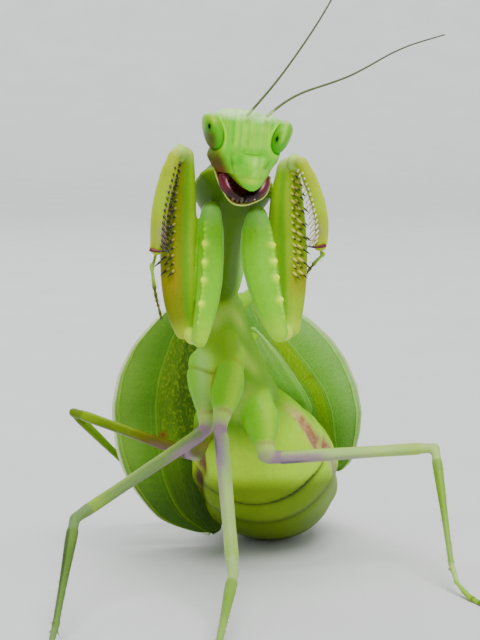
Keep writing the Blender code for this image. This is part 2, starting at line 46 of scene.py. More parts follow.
LEFT, FRONT, UP = np.array([1.0, 0, 0]), np.array([0, -1.0, 0]), np.array([0, 0, 1.0])
OUTWARD = {"right": -LEFT, "left": LEFT}
SIDES = ("right", "left")
WALKING = ("mid_right", "mid_left", "hind_right", "hind_left")
LIMB_PARTS = ("coxa", "femur", "tibia", "tarsus")
BELLY_RINGS = ["abdomen_%d" % k for k in range(1, 8)]

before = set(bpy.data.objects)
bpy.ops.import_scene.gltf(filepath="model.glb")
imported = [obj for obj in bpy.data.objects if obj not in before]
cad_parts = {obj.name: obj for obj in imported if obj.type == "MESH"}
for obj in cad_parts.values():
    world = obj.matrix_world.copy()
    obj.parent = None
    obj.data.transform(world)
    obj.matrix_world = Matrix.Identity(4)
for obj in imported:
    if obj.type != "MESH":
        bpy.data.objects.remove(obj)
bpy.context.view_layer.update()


# ---------------------------------------------------------------- reading the frame
def solid(*names):
    """Merged vertices in millimetres and edges of CAD nodes."""
    shape = bmesh.new()
    for name in names:
        shape.from_mesh(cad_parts[name].data)
    bmesh.ops.scale(shape, vec=(1 / MM,) * 3, verts=shape.verts)
    bmesh.ops.remove_doubles(shape, verts=shape.verts, dist=0.001)
    shape.verts.index_update()
    coords = np.array([vert.co for vert in shape.verts])
    edges = np.array([[end.index for end in edge.verts] for edge in shape.edges])
    shape.free()
    return coords, edges


def unit(vectors):
    """Vectors scaled to length one."""
    vectors = np.asarray(vectors, float)
    return vectors / np.maximum(np.linalg.norm(vectors, axis=-1, keepdims=True), 1e-12)


def middle(name):
    """Centre of a node's box, in millimetres."""
    low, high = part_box(name)
    return (np.array(low) + np.array(high)) / 2 / MM


def resample(values, count, closed=False):
    """Rows of values interpolated to another count."""
    values = np.asarray(values, float)
    old = np.linspace(0, 1, len(values) + (1 if closed else 0))
    if closed:
        values = np.concatenate([values, values[:1]])
    new = np.linspace(0, 1, count, endpoint=not closed)
    flat = values.reshape(len(values), -1)
    out = np.stack([np.interp(new, old, column) for column in flat.T], axis=1)
    return out.reshape((count,) + values.shape[1:])


def curve(keys, count):
    """Points of a Catmull-Rom curve through keys."""
    keys = np.asarray(keys, float)
    ends = np.concatenate([[2 * keys[0] - keys[1]], keys, [2 * keys[-1] - keys[-2]]])
    at = np.linspace(0, len(keys) - 1, count)
    first = np.minimum(at.astype(int), len(keys) - 2)
    t = (at - first)[:, None]
    a, b, c, d = (ends[first + k] for k in range(4))
    return 0.5 * (2 * b + (c - a) * t + (2 * a - 5 * b + 4 * c - d) * t ** 2
                  + (3 * b - a - 3 * c + d) * t ** 3)


def blurred(values, width, axis=0, wrap=False):
    """Values smoothed by a bell of this many rows."""
    reach = int(3 * width) + 1
    weights = np.exp(-0.5 * (np.arange(-reach, reach + 1) / width) ** 2)
    weights /= weights.sum()
    values = np.moveaxis(np.asarray(values, float), axis, 0)
    pad = [(reach, reach)] + [(0, 0)] * (values.ndim - 1)
    padded = np.pad(values, pad, mode="wrap" if wrap else "edge")
    out = sum(w * padded[k:k + len(values)] for k, w in enumerate(weights))
    return np.moveaxis(out, 0, axis)


def middling(values, window):
    """Running median along the first axis."""
    if window < 2:
        return values
    half = window // 2
    padded = np.pad(values, [(half, half)] + [(0, 0)] * (values.ndim - 1), mode="edge")
    return np.median(np.stack([padded[k:k + len(values)] for k in range(2 * half + 1)]), axis=0)


def cut(coords, edges, centre, way):
    """Where the edges of a solid cross a plane."""
    away = (coords - centre) @ way
    a, b = edges[:, 0], edges[:, 1]
    hit = away[a] * away[b] < 0
    share = away[a][hit] / (away[a][hit] - away[b][hit])
    return coords[a][hit] + share[:, None] * (coords[b][hit] - coords[a][hit])


class Tube:
    """A limb or body length as rings round an axis: centre, frame and radius by angle."""

    def __init__(self, names, count=60, sides=48, across=(1, 0, 0), path=None, trim=(0.5, 0.5),
                 window=1, blur=(1.5, 1.2), limit=None, start=None):
        """Measure the solids of these names from ring to ring along their own axis or along path."""
        coords, edges = solid(*names)
        if path is None:
            middle_of = coords.mean(0)
            axis = np.linalg.svd(coords - middle_of, full_matrices=False)[2][0]
            if start is not None and axis @ (middle_of - start) < 0:
                axis = -axis
            span = (coords - middle_of) @ axis
            path = [middle_of + axis * span.min(), middle_of + axis * span.max()]
        path = np.asarray(path, float)
        path = curve(path, PATH_POINTS) if len(path) > 2 else resample(path, PATH_POINTS)
        run = np.concatenate([[0], np.cumsum(np.linalg.norm(np.diff(path, axis=0), axis=1))])
        at = np.linspace(trim[0], run[-1] - trim[1], count)
        self.centres = np.stack([np.interp(at, run, column) for column in path.T], axis=1)
        for _ in range(2):
            self.aim(across)
            self.centres = self.gather(coords, edges, limit, self.centre_of)
            self.centres = blurred(middling(self.centres, window), blur[0] * 1.5)
        self.aim(across)
        self.angles = 2 * np.pi * np.arange(sides) / sides
        radii = blurred(middling(self.gather(coords, edges, limit, self.radii_of), window), blur[0])
        self.radii = blurred(radii, blur[1], axis=1, wrap=True)

    def gather(self, coords, edges, limit, measure):
        """One row of measurements for each ring; rings that meet nothing take their neighbours' values."""
        rows, found = [], []
        for k, (centre, way) in enumerate(zip(self.centres, self.ways)):
            points = cut(coords, edges, centre, way)
            if limit is not None:
                points = points[np.linalg.norm(points - centre, axis=1) < limit]
            if len(points) >= FEWEST_POINTS:
                rows.append(measure(k, points))
                found.append(k)
        rows, at = np.array(rows), np.arange(len(self.centres))
        return np.stack([np.interp(at, found, column) for column in rows.T], axis=1)

    def flat(self, k, points):
        """How far points lie from the centre of one ring, along its two directions across."""
        away = points - self.centres[k]
        return away @ self.across[k], away @ self.face[k]

    def centre_of(self, k, points):
        """Middle of one section."""
        u, v = self.flat(k, points)
        return (self.centres[k] + self.across[k] * (u.min() + u.max()) / 2
                + self.face[k] * (v.min() + v.max()) / 2)

    def radii_of(self, k, points):
        """Radius of one section at each angle."""
        u, v = self.flat(k, points)
        around = np.arctan2(v, u)
        order = np.argsort(around)
        return np.interp(self.angles, around[order], np.hypot(u, v)[order], period=2 * np.pi)

    def aim(self, across):
        """Set the ways of travel and the two directions across them."""
        self.ways = unit(np.gradient(self.centres, axis=0))
        across = np.broadcast_to(np.asarray(across, float), self.ways.shape)
        self.across = unit(across - (across * self.ways).sum(1, keepdims=True) * self.ways)
        self.face = np.cross(self.ways, self.across)

    def grid(self, rows, columns, extend=(0.4, 0.4), cap=(1.0, 1.0), grow=0.0):
        """Fine rings: places, outward directions, share along, angle; ends run on and round off."""
        length = np.linalg.norm(np.diff(self.centres, axis=0), axis=1).sum()
        start = self.centres[0] - self.ways[0] * extend[0]
        end = self.centres[-1] + self.ways[-1] * extend[1]
        inner = max(4, int(rows * length / (length + sum(extend) + 1e-6)))
        before = max(3, int(rows * (extend[0] + 1e-6) / length))
        after = max(3, int(rows * (extend[1] + 1e-6) / length))
        centres = np.concatenate([np.linspace(start, self.centres[0], before, endpoint=False),
                                  resample(self.centres, inner),
                                  np.linspace(self.centres[-1], end, after + 1)[1:]])
        pad = (before, after)
        across = unit(np.pad(resample(self.across, inner), (pad, (0, 0)), mode="edge"))
        face = unit(np.pad(resample(self.face, inner), (pad, (0, 0)), mode="edge"))
        radii = resample(self.radii, inner)
        radii = np.pad(resample(radii.T, columns, closed=True).T, (pad, (0, 0)), mode="edge") + grow
        angles = 2 * np.pi * np.arange(columns) / columns
        total = np.concatenate([[0], np.cumsum(np.linalg.norm(np.diff(centres, axis=0), axis=1))])
        for end_of in (0, 1):
            reach = radii.mean(1)[0 if end_of == 0 else -1] * cap[end_of]
            distance = total if end_of == 0 else total[-1] - total
            share = np.clip(distance / max(reach, 1e-6), 0, 1)
            radii = radii * np.sqrt(np.clip(1 - (1 - share) ** 2, BLUNT_TIP, 1))[:, None]
        out = np.cos(angles)[None, :, None] * across[:, None] + np.sin(angles)[None, :, None] * face[:, None]
        along = (total[:, None] - extend[0]) / length
        return dict(places=centres[:, None] + radii[..., None] * out, out=out, along=along,
                    angles=angles, length=length, radii=radii, centres=centres)


# ---------------------------------------------------------------- meshes
def grid_mesh(places, closed=True, ends=True):
    """Vertices and faces of a grid of places, in millimetres."""
    rows, columns = places.shape[:2]
    coords = places.reshape(-1, 3)
    index = np.arange(rows * columns).reshape(rows, columns)
    right = np.roll(index, -1, axis=1) if closed else index[:, 1:]
    left = index if closed else index[:, :-1]
    faces = np.stack([left[:-1], right[:-1], right[1:], left[1:]], axis=-1).reshape(-1, 4).tolist()
    if ends and closed:
        faces.append(index[0][::-1].tolist())
        faces.append(index[-1].tolist())
    return coords, faces


class Heap:
    """Meshes gathered into one, with a colour for each vertex."""

    def __init__(self):
        """An empty heap."""
        self.coords, self.faces, self.tints, self.count = [], [], [], 0

    def add(self, places, tint, closed=True, ends=True):
        """Put in a grid of places, in one colour or with a colour for each place."""
        coords, faces = grid_mesh(places, closed, ends)
        tint = np.broadcast_to(tint, places.shape[:2] + (3,)).reshape(-1, 3)
        self.faces += [[k + self.count for k in face] for face in faces]
        self.coords.append(coords)
        self.tints.append(tint)
        self.count += len(coords)

    def mesh(self, name):
        """The heap as one mesh in millimetres, and its colours."""
        data = bpy.data.meshes.new(name)
        data.from_pydata(np.concatenate(self.coords).tolist(), [], self.faces)
        data.update()
        return data, np.concatenate(self.tints)


def paint(red, green, blue):
    """A colour given as it looks on a screen, 0 to 255, as the linear values that shaders use."""
    value = np.array([red, green, blue]) / 255.0
    linear = np.where(value <= 0.04045, value / 12.92, ((value + 0.055) / 1.055) ** 2.4)
    grey = linear @ [0.2126, 0.7152, 0.0722]
    return np.maximum(grey + (linear - grey) * VIVID, 0.0015)


def bell(distance, width):
    """1 at distance 0, falling off smoothly over width."""
    return np.exp(-(np.asarray(distance) / width) ** 2)


def step(value, low, high):
    """0 below low, 1 above high, smooth between."""
    share = np.clip((np.asarray(value) - low) / (high - low), 0, 1)
    return share * share * (3 - 2 * share)


def blend(base, other, share):
    """Colours mixed by a share for each place."""
    return base + (np.asarray(other) - base) * np.asarray(share)[..., None]


# ---------------------------------------------------------------- places taken from the frame
EYE_LEFT, EYE_RIGHT = middle("eye_left"), middle("eye_right")
HEAD_X = unit(EYE_LEFT - EYE_RIGHT)
HEAD_Z = unit(np.array([-HEAD_X[2], 0.0, HEAD_X[0]]))
HEAD_Y = np.cross(HEAD_Z, HEAD_X)
HEAD_AT = (EYE_LEFT + EYE_RIGHT) / 2 + 0.1 * HEAD_Y - 1.6 * HEAD_Z


def head_places(local):
    """Places given in the head's own axes: x to its left, y back, z up."""
    local = np.asarray(local, float)
    return HEAD_AT + local[..., :1] * HEAD_X + local[..., 1:2] * HEAD_Y + local[..., 2:] * HEAD_Z


# ---------------------------------------------------------------- colours, as seen on a screen
LIME = paint(166, 205, 74)
# Painted light and shade: one green per walking leg, the right legs painted darker as shade, the left legs
# lighter as light.
LEG_LIT_AND_SHADED = {
    "mid_right": paint(108, 128, 92),
    "hind_right": paint(98, 116, 58),
    "mid_left": paint(154, 176, 130),
    "hind_left": paint(166, 188, 136),
}
LILAC_SIDE = {                # the way the lilac side of each thigh looks: left, back, up
    "mid_right": (0, -0.5, -1.0),
    "mid_left": (-1.0, -0.3, 0),
    "hind_right": (0, -0.3, -1.0),
    "hind_left": (0, -0.6, -1.0),
}
PALE_LIME = paint(196, 222, 128)
LEAF = paint(116, 172, 58)
COXA_GREEN = paint(136, 186, 96)
DEEP = paint(70, 118, 22)
OLIVE = paint(112, 132, 34)
LILAC = paint(138, 122, 138)
LEG_PALE = paint(168, 204, 122)
MAROON = paint(92, 34, 34)
BELLY_LIT = paint(184, 220, 100)
WHITISH = paint(222, 232, 200)


def off_angle(rings, direction):
    """Angle between each outward direction of the rings and a direction in space."""
    out, direction = rings["out"], np.asarray(direction, float)
    way = np.cross(out[:, 0], out[:, out.shape[1] // 4])
    flat = unit(direction - (way @ direction)[:, None] * way)
    return np.arccos(np.clip((out * flat[:, None]).sum(2), -1, 1))


def add_rings(heap, rings, offset, tint):
    """Put rings into a heap, pushed outwards by offset."""
    heap.add(rings["places"] + offset[..., None] * rings["out"], tint)


def add_ball(heap, centre, radii, tint, axis=UP):
    """A smooth ellipsoid; its third radius lies along axis."""
    axis = unit(axis)
    side = unit(np.cross(axis, LEFT + 0.3 * FRONT))
    face = np.cross(axis, side)
    polar = np.linspace(0.02, math.pi - 0.02, 20)
    angle = np.linspace(0, 2 * math.pi, 40, endpoint=False)
    ring = np.cos(angle)[:, None] * side * radii[0] + np.sin(angle)[:, None] * face * radii[1]
    heap.add(centre + np.sin(polar)[:, None, None] * ring[None]
             + np.cos(polar)[:, None, None] * axis * radii[2], tint)


# ---------------------------------------------------------------- body parts of the skin
def add_prothorax(heap):
    """The long first ring: keeled back, toothed side rims, a groove over the coxae, and a breast and front
    darkened by painted shade.
    """
    tube = Tube(["prothorax"], count=70, sides=72, start=middle("neck"), window=5, blur=(1.6, 1.4),
                trim=(0.4, 1.6))
    rings = tube.grid(260, 220, extend=(0.4, 2.2), cap=(0.55, 0.9), grow=0.05)
    along = rings["along"]
    back = off_angle(rings, -0.55 * FRONT + 0.8 * UP)
    breast = off_angle(rings, 0.55 * FRONT - 0.8 * UP)
    rim = back - 1.55
    teeth = 0.5 + 0.5 * np.sin(along * 150)
    offset = 0.16 * bell(back, 0.1) + (0.16 + 0.10 * teeth * step(0.75 - along, 0, 0.1)) * bell(rim, 0.10)
    offset -= 0.22 * bell(along - 0.285, 0.018) * step(1.2 - back, 0, 0.4)
    offset -= 0.12 * bell(rim + 0.25, 0.12)
    offset += 0.10 * bell(breast, 0.35) * step(along, 0.3, 0.45)
    tint = blend(COXA_GREEN, LEAF, step(1.6 - back, 0, 0.6))
    # painted shade: the breast underneath is painted dark olive
    tint = blend(tint, paint(72, 94, 0), 0.95 * step(1.3 - breast, 0, 0.6))
    # painted shadow of the head: the front half, all but the back, is painted dark olive
    tint = blend(tint, paint(78, 102, 0), 0.95 * step(0.5 - along, 0, 0.2) * step(back, 0.4, 1.0))
    tint = blend(tint, PALE_LIME, 0.35 * bell(rim, 0.07))
    add_rings(heap, rings, offset, tint)
    return tube


def add_neck(heap):
    """The soft folded neck, which runs into the head and the first ring."""
    tube = Tube(["neck"], count=20, sides=36, start=middle("head"), trim=(0.3, 0.3))
    rings = tube.grid(90, 90, extend=(1.2, 1.2), cap=(0.5, 0.5), grow=0.1)
    along = rings["along"]
    folds = np.sin(along * 26)
    add_rings(heap, rings, 0.07 * folds, blend(LEG_PALE, OLIVE, 0.35 + 0.3 * folds))


RING_ENDS = (3.66, 4.42, 5.45, 6.4, 7.35, 8.3)   # where rings end, counted in the body's solids


def add_hind_body(heap):
    """Breast, waist and belly as one curved body: overlapping rings, soft side folds, breast plates."""
    names = ["mesothorax", "metathorax"] + BELLY_RINGS
    path = [middle(name) for name in names]
    path = [2 * path[0] - path[1]] + path + [2 * path[-1] - path[-2]]
    ends = [np.linalg.norm(path[1] - path[0]) * 0.42, np.linalg.norm(path[-1] - path[-2]) * 0.36]
    tube = Tube(names, count=110, sides=96, path=path, trim=ends, window=5, blur=(2.2, 2.0), limit=12.0)
    rings = tube.grid(560, 420, extend=(0.3, 2.6), cap=(0.55, 0.95), grow=0.03)
    under = off_angle(rings, 0.35 * FRONT - 0.94 * UP)
    back = math.pi - under
    marks = [int(np.argmin(np.linalg.norm(rings["centres"] - place, axis=1))) for place in path[1:-1]]
    at = np.interp(np.arange(len(rings["centres"])), marks, np.arange(1, len(marks) + 1))[:, None]
    at += np.maximum(np.arange(len(at)) - marks[-1], 0)[:, None] / (marks[-1] - marks[-2])
    at -= np.maximum(marks[0] - np.arange(len(at)), 0)[:, None] / (marks[1] - marks[0])
    belly = step(at, 2.4, 2.9)
    offset = np.zeros_like(under)
    line = np.zeros_like(under)
    rim_light = np.zeros_like(under)
    wave = 0.10 * np.cos(under * 2.0)
    for edge in RING_ENDS:
        beyond = at - edge - wave * step(1.2 - under, 0, 0.4)
        offset += belly * (0.22 * bell(np.minimum(beyond, 0), 0.30) * (beyond < 0)
                           - 0.26 * bell(beyond, 0.26) * (beyond >= 0))
        line += bell(beyond - 0.05, 0.085 if edge < 4.0 else 0.12)
        rim_light += bell(beyond + 0.16, 0.08)
    x, z = rings["places"][..., 0], rings["places"][..., 2]
    fold = under - 1.54 + 0.42 * step(-x, 0, 3) - 0.05 * np.sin(at * 5.3)
    offset -= belly * 0.34 * bell(fold, 0.11)
    offset += belly * 0.16 * bell(fold - 0.22, 0.10) * (0.7 + 0.3 * np.sin(at * 40))
    offset += belly * 0.14 * bell(fold + 0.24, 0.12)
    offset += belly * 0.10 * bell(back, 0.12)
    offset -= (1 - belly) * 0.22 * bell(at - 2.42, 0.05)
    offset -= (1 - belly) * 0.14 * bell(under, 0.06) * step(at, 0.9, 1.2)
    tint = blend(paint(112, 148, 60), BELLY_LIT, belly)
    tint = blend(tint, LEAF, 0.6 * step(under - 1.5, 0, 0.5) * belly)
    crumpled = np.sin(at * 37 + 3 * np.sin(under * 17 + at * 5))
    crumpled *= np.sin(under * 29 - at * 13 + 2 * np.sin(at * 11))
    crumpled = np.clip(0.55 + 0.6 * crumpled, 0, 1)
    skin_fold = blend(paint(122, 78, 72), paint(196, 170, 146), crumpled)
    skin_fold = blend(skin_fold, paint(78, 42, 38), 0.85 * step(-x, 1.0, 3.0))
    skin_fold = blend(skin_fold, paint(112, 56, 58), 0.5 * step(x, 3.0, 5.0))
    foremost = 0.25 + 0.75 * step(5.6 - at, 0, 1.2) * step(1.9 - off_angle(rings, FRONT), 0, 0.4)
    fold_width = 0.10 + 0.05 * step(5.0 - at, 0, 1.5)
    tint = blend(tint, skin_fold, 0.95 * np.clip(1.5 * bell(fold, fold_width), 0, 1) * belly * foremost)
    tint = blend(tint, PALE_LIME, np.clip(0.45 * rim_light * belly, 0, 1))
    seen = step(1.52 - off_angle(rings, FRONT - 0.7 * UP), 0, 0.35)
    faced = 0.14 + 0.86 * seen * step(5.2 - at, 0, 0.3)
    tint = blend(tint, paint(44, 40, 8), np.clip(1.1 * line * belly, 0, 0.97) * faced)
    tint = blend(tint, PALE_LIME, 0.35 * bell(under, 0.3) * belly * (1 - np.clip(line, 0, 1)))
    # painted shade: the lower front of the belly is darkened, most near the floor
    shade = step(12.0 - z, 0, 2.6) * step(2.0 - under, 0, 0.5) * belly
    tint = tint * (1 - (0.66 + 0.10 * step(6.5 - z, 0, 3.0)) * shade)[..., None]
    chest = 1 - belly
    plates = 0.5 + 0.5 * np.sin(at * 9.0 + 2.2 * np.sin(under * 3.1))
    tint = blend(tint, paint(186, 210, 136), 0.45 * chest * plates * step(1.5 - under, 0, 0.5))
    tint = blend(tint, paint(40, 60, 10), 0.6 * chest * bell(np.abs(under - 0.55), 0.04) * step(at, 0.8, 1.2))
    add_rings(heap, rings, offset, tint)
    return tube


COXA_RIDGE_WAYS = {           # how far outward and forward the ridge of each front coxa looks
    "right": (0.52, 0.86),
    "left": (0.84, 0.54),
}
COXA_BUMPS = (                # shares of the coxa's length and sizes of the bumps down its ridge
    (0.10, 0.4), (0.15, 0.45), (0.20, 0.4), (0.26, 1.0), (0.30, 0.35), (0.34, 0.4),
    (0.405, 1.0), (0.45, 0.4), (0.49, 0.35), (0.545, 1.0), (0.59, 0.4), (0.63, 0.35),
    (0.67, 0.4), (0.73, 1.0), (0.78, 0.4), (0.82, 0.35), (0.87, 0.4),
)


def add_fore_coxa(heap, side):
    """The long first length of a foreleg, with pale bumps down the ridge of its outer front side."""
    name = "fore_coxa_" + side
    outward = OUTWARD[side]
    tube = Tube([name], count=50, sides=48, start=middle(name) + 9 * UP, blur=(1.6, 1.2),
                trim=(0.7, 0.7))
    rings = tube.grid(330, 150, extend=(0.8, 0.7), cap=(0.9, 1.0), grow=0.06)
    along = rings["along"]
    outer, forward = COXA_RIDGE_WAYS[side]
    ridge = off_angle(rings, outer * outward + forward * FRONT)
    inner = off_angle(rings, -0.85 * outward + 0.5 * FRONT)
    rear = off_angle(rings, 0.9 * outward - 0.4 * FRONT)
    offset = 0.13 * bell(ridge, 0.16) + 0.08 * bell(inner, 0.2) + 0.10 * bell(rear, 0.18)
    offset -= 0.07 * bell(ridge - 0.45, 0.22)
    tint = blend(COXA_GREEN, PALE_LIME, 0.45 * step(along, 0.75, 1.0))
    tint = blend(tint, LEAF, 0.2 * step(1.6 - rear, 0, 0.8))
    tint = blend(tint, LEAF, 0.3 * bell(ridge, 0.2))
    tint = blend(tint, paint(150, 186, 132), 0.5 * step(0.16 - along, 0, 0.16))
    girth = rings["radii"].mean(1)[:, None]
    length = rings["length"]
    for where, size in COXA_BUMPS:
        gap = np.hypot((along - where) * length, ridge * girth)
        offset += 0.36 * size * bell(gap, 0.34 * size)
        core = paint(222, 252, 36) if size == 1.0 else paint(186, 226, 70)
        tint = blend(tint, core, np.clip(1.6 * bell(gap, 0.34 * size), 0, 0.97))
    for where in np.linspace(0.1, 0.85, 15):
        gap = np.hypot((along - where) * length, rear * girth)
        offset += 0.12 * bell(gap, 0.14)
        tint = blend(tint, DEEP, 0.6 * bell(gap, 0.14))
    add_rings(heap, rings, offset, tint)
    root = tube.centres[0] - 0.2 * tube.ways[0] - 0.4 * FRONT
    add_ball(heap, root, (tube.radii[0].mean() * 1.05,) * 3, paint(84, 108, 20))
    return tube


def add_fore_femur(heap, side, coxa):
    """The grasping thigh: swollen, keeled, and grooved and pitted where the shin folds against it."""
    name = "fore_femur_" + side
    outward = OUTWARD[side]
    tube = Tube([name], count=64, sides=48, start=coxa.centres[-1], window=9, blur=(2.0, 1.4),
                trim=(0.7, 0.7))
    rings = tube.grid(360, 150, extend=(0.8, 0.7), cap=(0.9, 0.95), grow=0.05)
    along = rings["along"]
    toothed = off_angle(rings, 0.8 * outward + 0.6 * FRONT)
    inner = off_angle(rings, -0.9 * outward + 0.43 * FRONT)
    keel = off_angle(rings, -0.6 * outward - 0.8 * FRONT)
    band = bell(toothed, 0.42)
    offset = -0.16 * bell(toothed, 0.25) * step(along, 0.2, 0.35) * step(0.95 - along, 0, 0.1)
    offset += 0.10 * bell(keel, 0.15) + 0.08 * bell(toothed - 0.55, 0.14)
    girth = rings["radii"].mean(1)[:, None]
    length = rings["length"]
    gold = paint(120, 130, 4) if side == "right" else paint(146, 172, 40)
    amber = paint(150, 120, 20)
    tint = blend(gold, paint(100, 146, 40), 0.85 * step(1.15 - inner, 0, 0.5))
    tint = blend(tint, paint(176, 200, 110), 0.45 * bell(inner - 0.15, 0.3))
    tint = blend(tint, amber, 0.6 * bell(along - 0.30, 0.10) * bell(toothed - 0.2, 0.6))
    tint = blend(tint, paint(120, 140, 20), 0.45 * band * step(along, 0.15, 0.3))
    tint = blend(tint, paint(196, 206, 150), 0.5 * step(along, 0.93, 1.02))
    tint = blend(tint, PALE_LIME, 0.5 * step(0.10 - along, 0, 0.12))
    for where in np.linspace(0.3, 0.9, 13):
        gap = np.hypot((along - where) * length, (toothed - 0.02) * girth)
        offset -= 0.05 * bell(gap, 0.3)
        tint = blend(tint, DEEP, 0.35 * bell(gap, 0.22))
    add_rings(heap, rings, offset, tint)
    elbow = (coxa.centres[-1] + tube.centres[0]) / 2
    add_ball(heap, elbow, (0.85, 0.85, 1.15), PALE_LIME, axis=tube.centres[0] - coxa.centres[-1])
    return tube


def add_fore_tibia(heap, side, femur):
    """The shin that folds against the thigh, with a pale ball at the knee."""
    name = "fore_tibia_" + side
    tube = Tube([name], count=56, sides=40, start=femur.centres[-1], window=9, blur=(1.8, 1.4),
                trim=(0.6, 1.4))
    rings = tube.grid(260, 110, extend=(0.8, 1.0), cap=(0.95, 0.9), grow=0.05)
    along = rings["along"]
    outward = OUTWARD[side]
    outer = off_angle(rings, 0.9 * outward + 0.3 * FRONT)
    offset = 0.09 * bell(outer, 0.3)
    tint = blend(paint(166, 190, 60), paint(150, 160, 30), 0.4 + 0.3 * np.sin(along * 9))
    tint = blend(tint, paint(196, 214, 110), 0.5 * bell(outer, 0.4))
    tint = blend(tint, LILAC, 0.7 * bell(along - 0.86, 0.10) * bell(outer - 2.2, 1.0))
    tint = blend(tint, paint(200, 208, 150), 0.5 * step(0.04 - along, 0, 0.08))
    add_rings(heap, rings, offset, tint)
    knee = (femur.centres[-1] + tube.centres[0]) / 2
    add_ball(heap, knee + 0.2 * UP, (0.92, 0.85, 0.9), blend(LIME, WHITISH, 0.3))
    return tube


COXA_SHAPES = {               # millimetres added to the radius at the root and at the end, and a shift
    "mid_right": (0.55, 0.0, 0.0),
    "mid_left": (0.0, 0.0, -0.1),
    "hind_right": (0.3, 0.05, 0.0),
    "hind_left": (0.55, 0.2, -0.45),
}


def add_walking_coxa(heap, leg):
    """The stout first length of a walking leg, with a ball at its end."""
    name = leg.replace("_", "_coxa_")
    femur = middle(leg.replace("_", "_femur_"))
    tube = Tube([name], count=44, sides=44, start=middle(name) + 8 * UP, blur=(1.6, 1.3), trim=(0.6, 0.6))
    at_root, at_end, shift = COXA_SHAPES[leg]
    tube.centres = tube.centres + shift * LEFT
    rings = tube.grid(230, 130, extend=(1.3, 0.6), cap=(1.1, 1.0), grow=0.06)
    along = rings["along"]
    front = off_angle(rings, FRONT + 0.5 * LEFT)
    seam = off_angle(rings, FRONT - 0.9 * LEFT)
    offset = 0.10 * bell(front, 0.14) * step(0.75 - along, 0, 0.2)
    offset += at_root * step(0.75 - along, 0, 0.75) + at_end * step(along, 0.6, 1.0)
    offset -= 0.08 * bell(seam, 0.08) * step(0.7 - along, 0, 0.1)
    offset -= 0.10 * bell(along - 0.76, 0.03)
    tint = blend(COXA_GREEN, PALE_LIME, 0.5 * bell(front, 0.5))
    if leg == "mid_right":
        tint = blend(tint, paint(176, 206, 150), 0.6 * bell(front - 0.6, 0.5))
        tint = blend(tint, paint(150, 176, 120), 0.5 * step(along, 0.3, 0.7))
    if leg == "mid_left":
        edge = off_angle(rings, -LEFT + 0.25 * FRONT)
        upper = step(0.6 - along, 0, 0.3)
        # painted shade: the inner side and top edge of this coxa are painted brown, as shade in the creases
        # beside the other coxa and the body
        tint = blend(tint, paint(120, 92, 60), 0.8 * bell(edge, 0.30) * step(along, 0.0, 0.1) * upper)
        offset -= 0.16 * bell(edge, 0.22) * upper
        tint = blend(tint, paint(140, 120, 70), 0.6 * bell(along - 0.02, 0.035))
        offset -= 0.16 * bell(along - 0.02, 0.03)
    tint = blend(tint, paint(180, 200, 140), 0.7 * step(along, 0.70, 0.82))
    tint = blend(tint, LILAC, 0.6 * step(along, 0.88, 1.0))
    # painted shade: the hind right coxa is painted dark brown, as it stands in shade
    if leg == "hind_right":
        tint = blend(tint, paint(84, 76, 34), 0.8 * step(along, 0.3, 0.7))
    if leg == "mid_right":
        plate = along - 0.20 - 0.10 * np.cos(front + 0.6)
        tint = blend(tint, paint(104, 110, 60), 0.7 * bell(plate, 0.022))
        offset -= 0.20 * bell(plate, 0.03)
    tint = blend(tint, paint(140, 104, 84), 0.5 * bell(along - 0.80, 0.03) * bell(front - 0.3, 1.1))
    add_rings(heap, rings, offset, tint)
    way = unit(femur - tube.centres[-1])
    add_ball(heap, tube.centres[-1] + 0.1 * way, (0.8, 0.8, 0.9), blend(LEG_PALE, LILAC, 0.6), axis=way)
    return tube


def add_walking_femur(heap, leg, coxa):
    """The thigh of a walking leg, ridged lengthways and lilac below, a little wider at the knee."""
    name = leg.replace("_", "_femur_")
    tube = Tube([name], count=30, sides=32, start=coxa.centres[-1], trim=(0.7, 0.7), blur=(2, 1.2))
    rings = tube.grid(330, 80, extend=(2.0, 0.5), cap=(0.9, 0.6), grow=0.05)
    along = rings["along"]
    offset = 0.045 * np.cos(4 * rings["angles"])[None, :] * step(along, 0.02, 0.15)
    offset += 0.04 * step(along, 0.7, 0.95)
    lower = off_angle(rings, LILAC_SIDE[leg])
    upper = math.pi - lower
    # painted light: the side turned away from the lilac side is painted lighter yellow-green
    tint = blend(LEG_LIT_AND_SHADED[leg], paint(164, 190, 108), 0.4 * step(1.2 - upper, 0, 0.7))
    tint = blend(tint, paint(146, 172, 90), 0.4 * step(along, 0.75, 1.0))
    tint = blend(tint, LILAC, 0.9 * step(0.34 - along, 0, 0.2) * step(2.1 - lower, 0, 0.9))
    tint = blend(tint, paint(146, 132, 142), 0.6 * step(0.75 - along, 0, 0.3) * step(1.1 - lower, 0, 0.7))
    tint = blend(tint, paint(70, 62, 92), 0.7 * step(0.14 - along, 0, 0.12) * step(0.8 - lower, 0, 0.5))
    # painted shade: the base of the hind right thigh is painted dark brown, as it stands in shade
    if leg == "hind_right":
        tint = blend(tint, paint(84, 70, 34), 0.75 * step(0.6 - along, 0, 0.4))
    add_rings(heap, rings, offset, tint)
    return tube


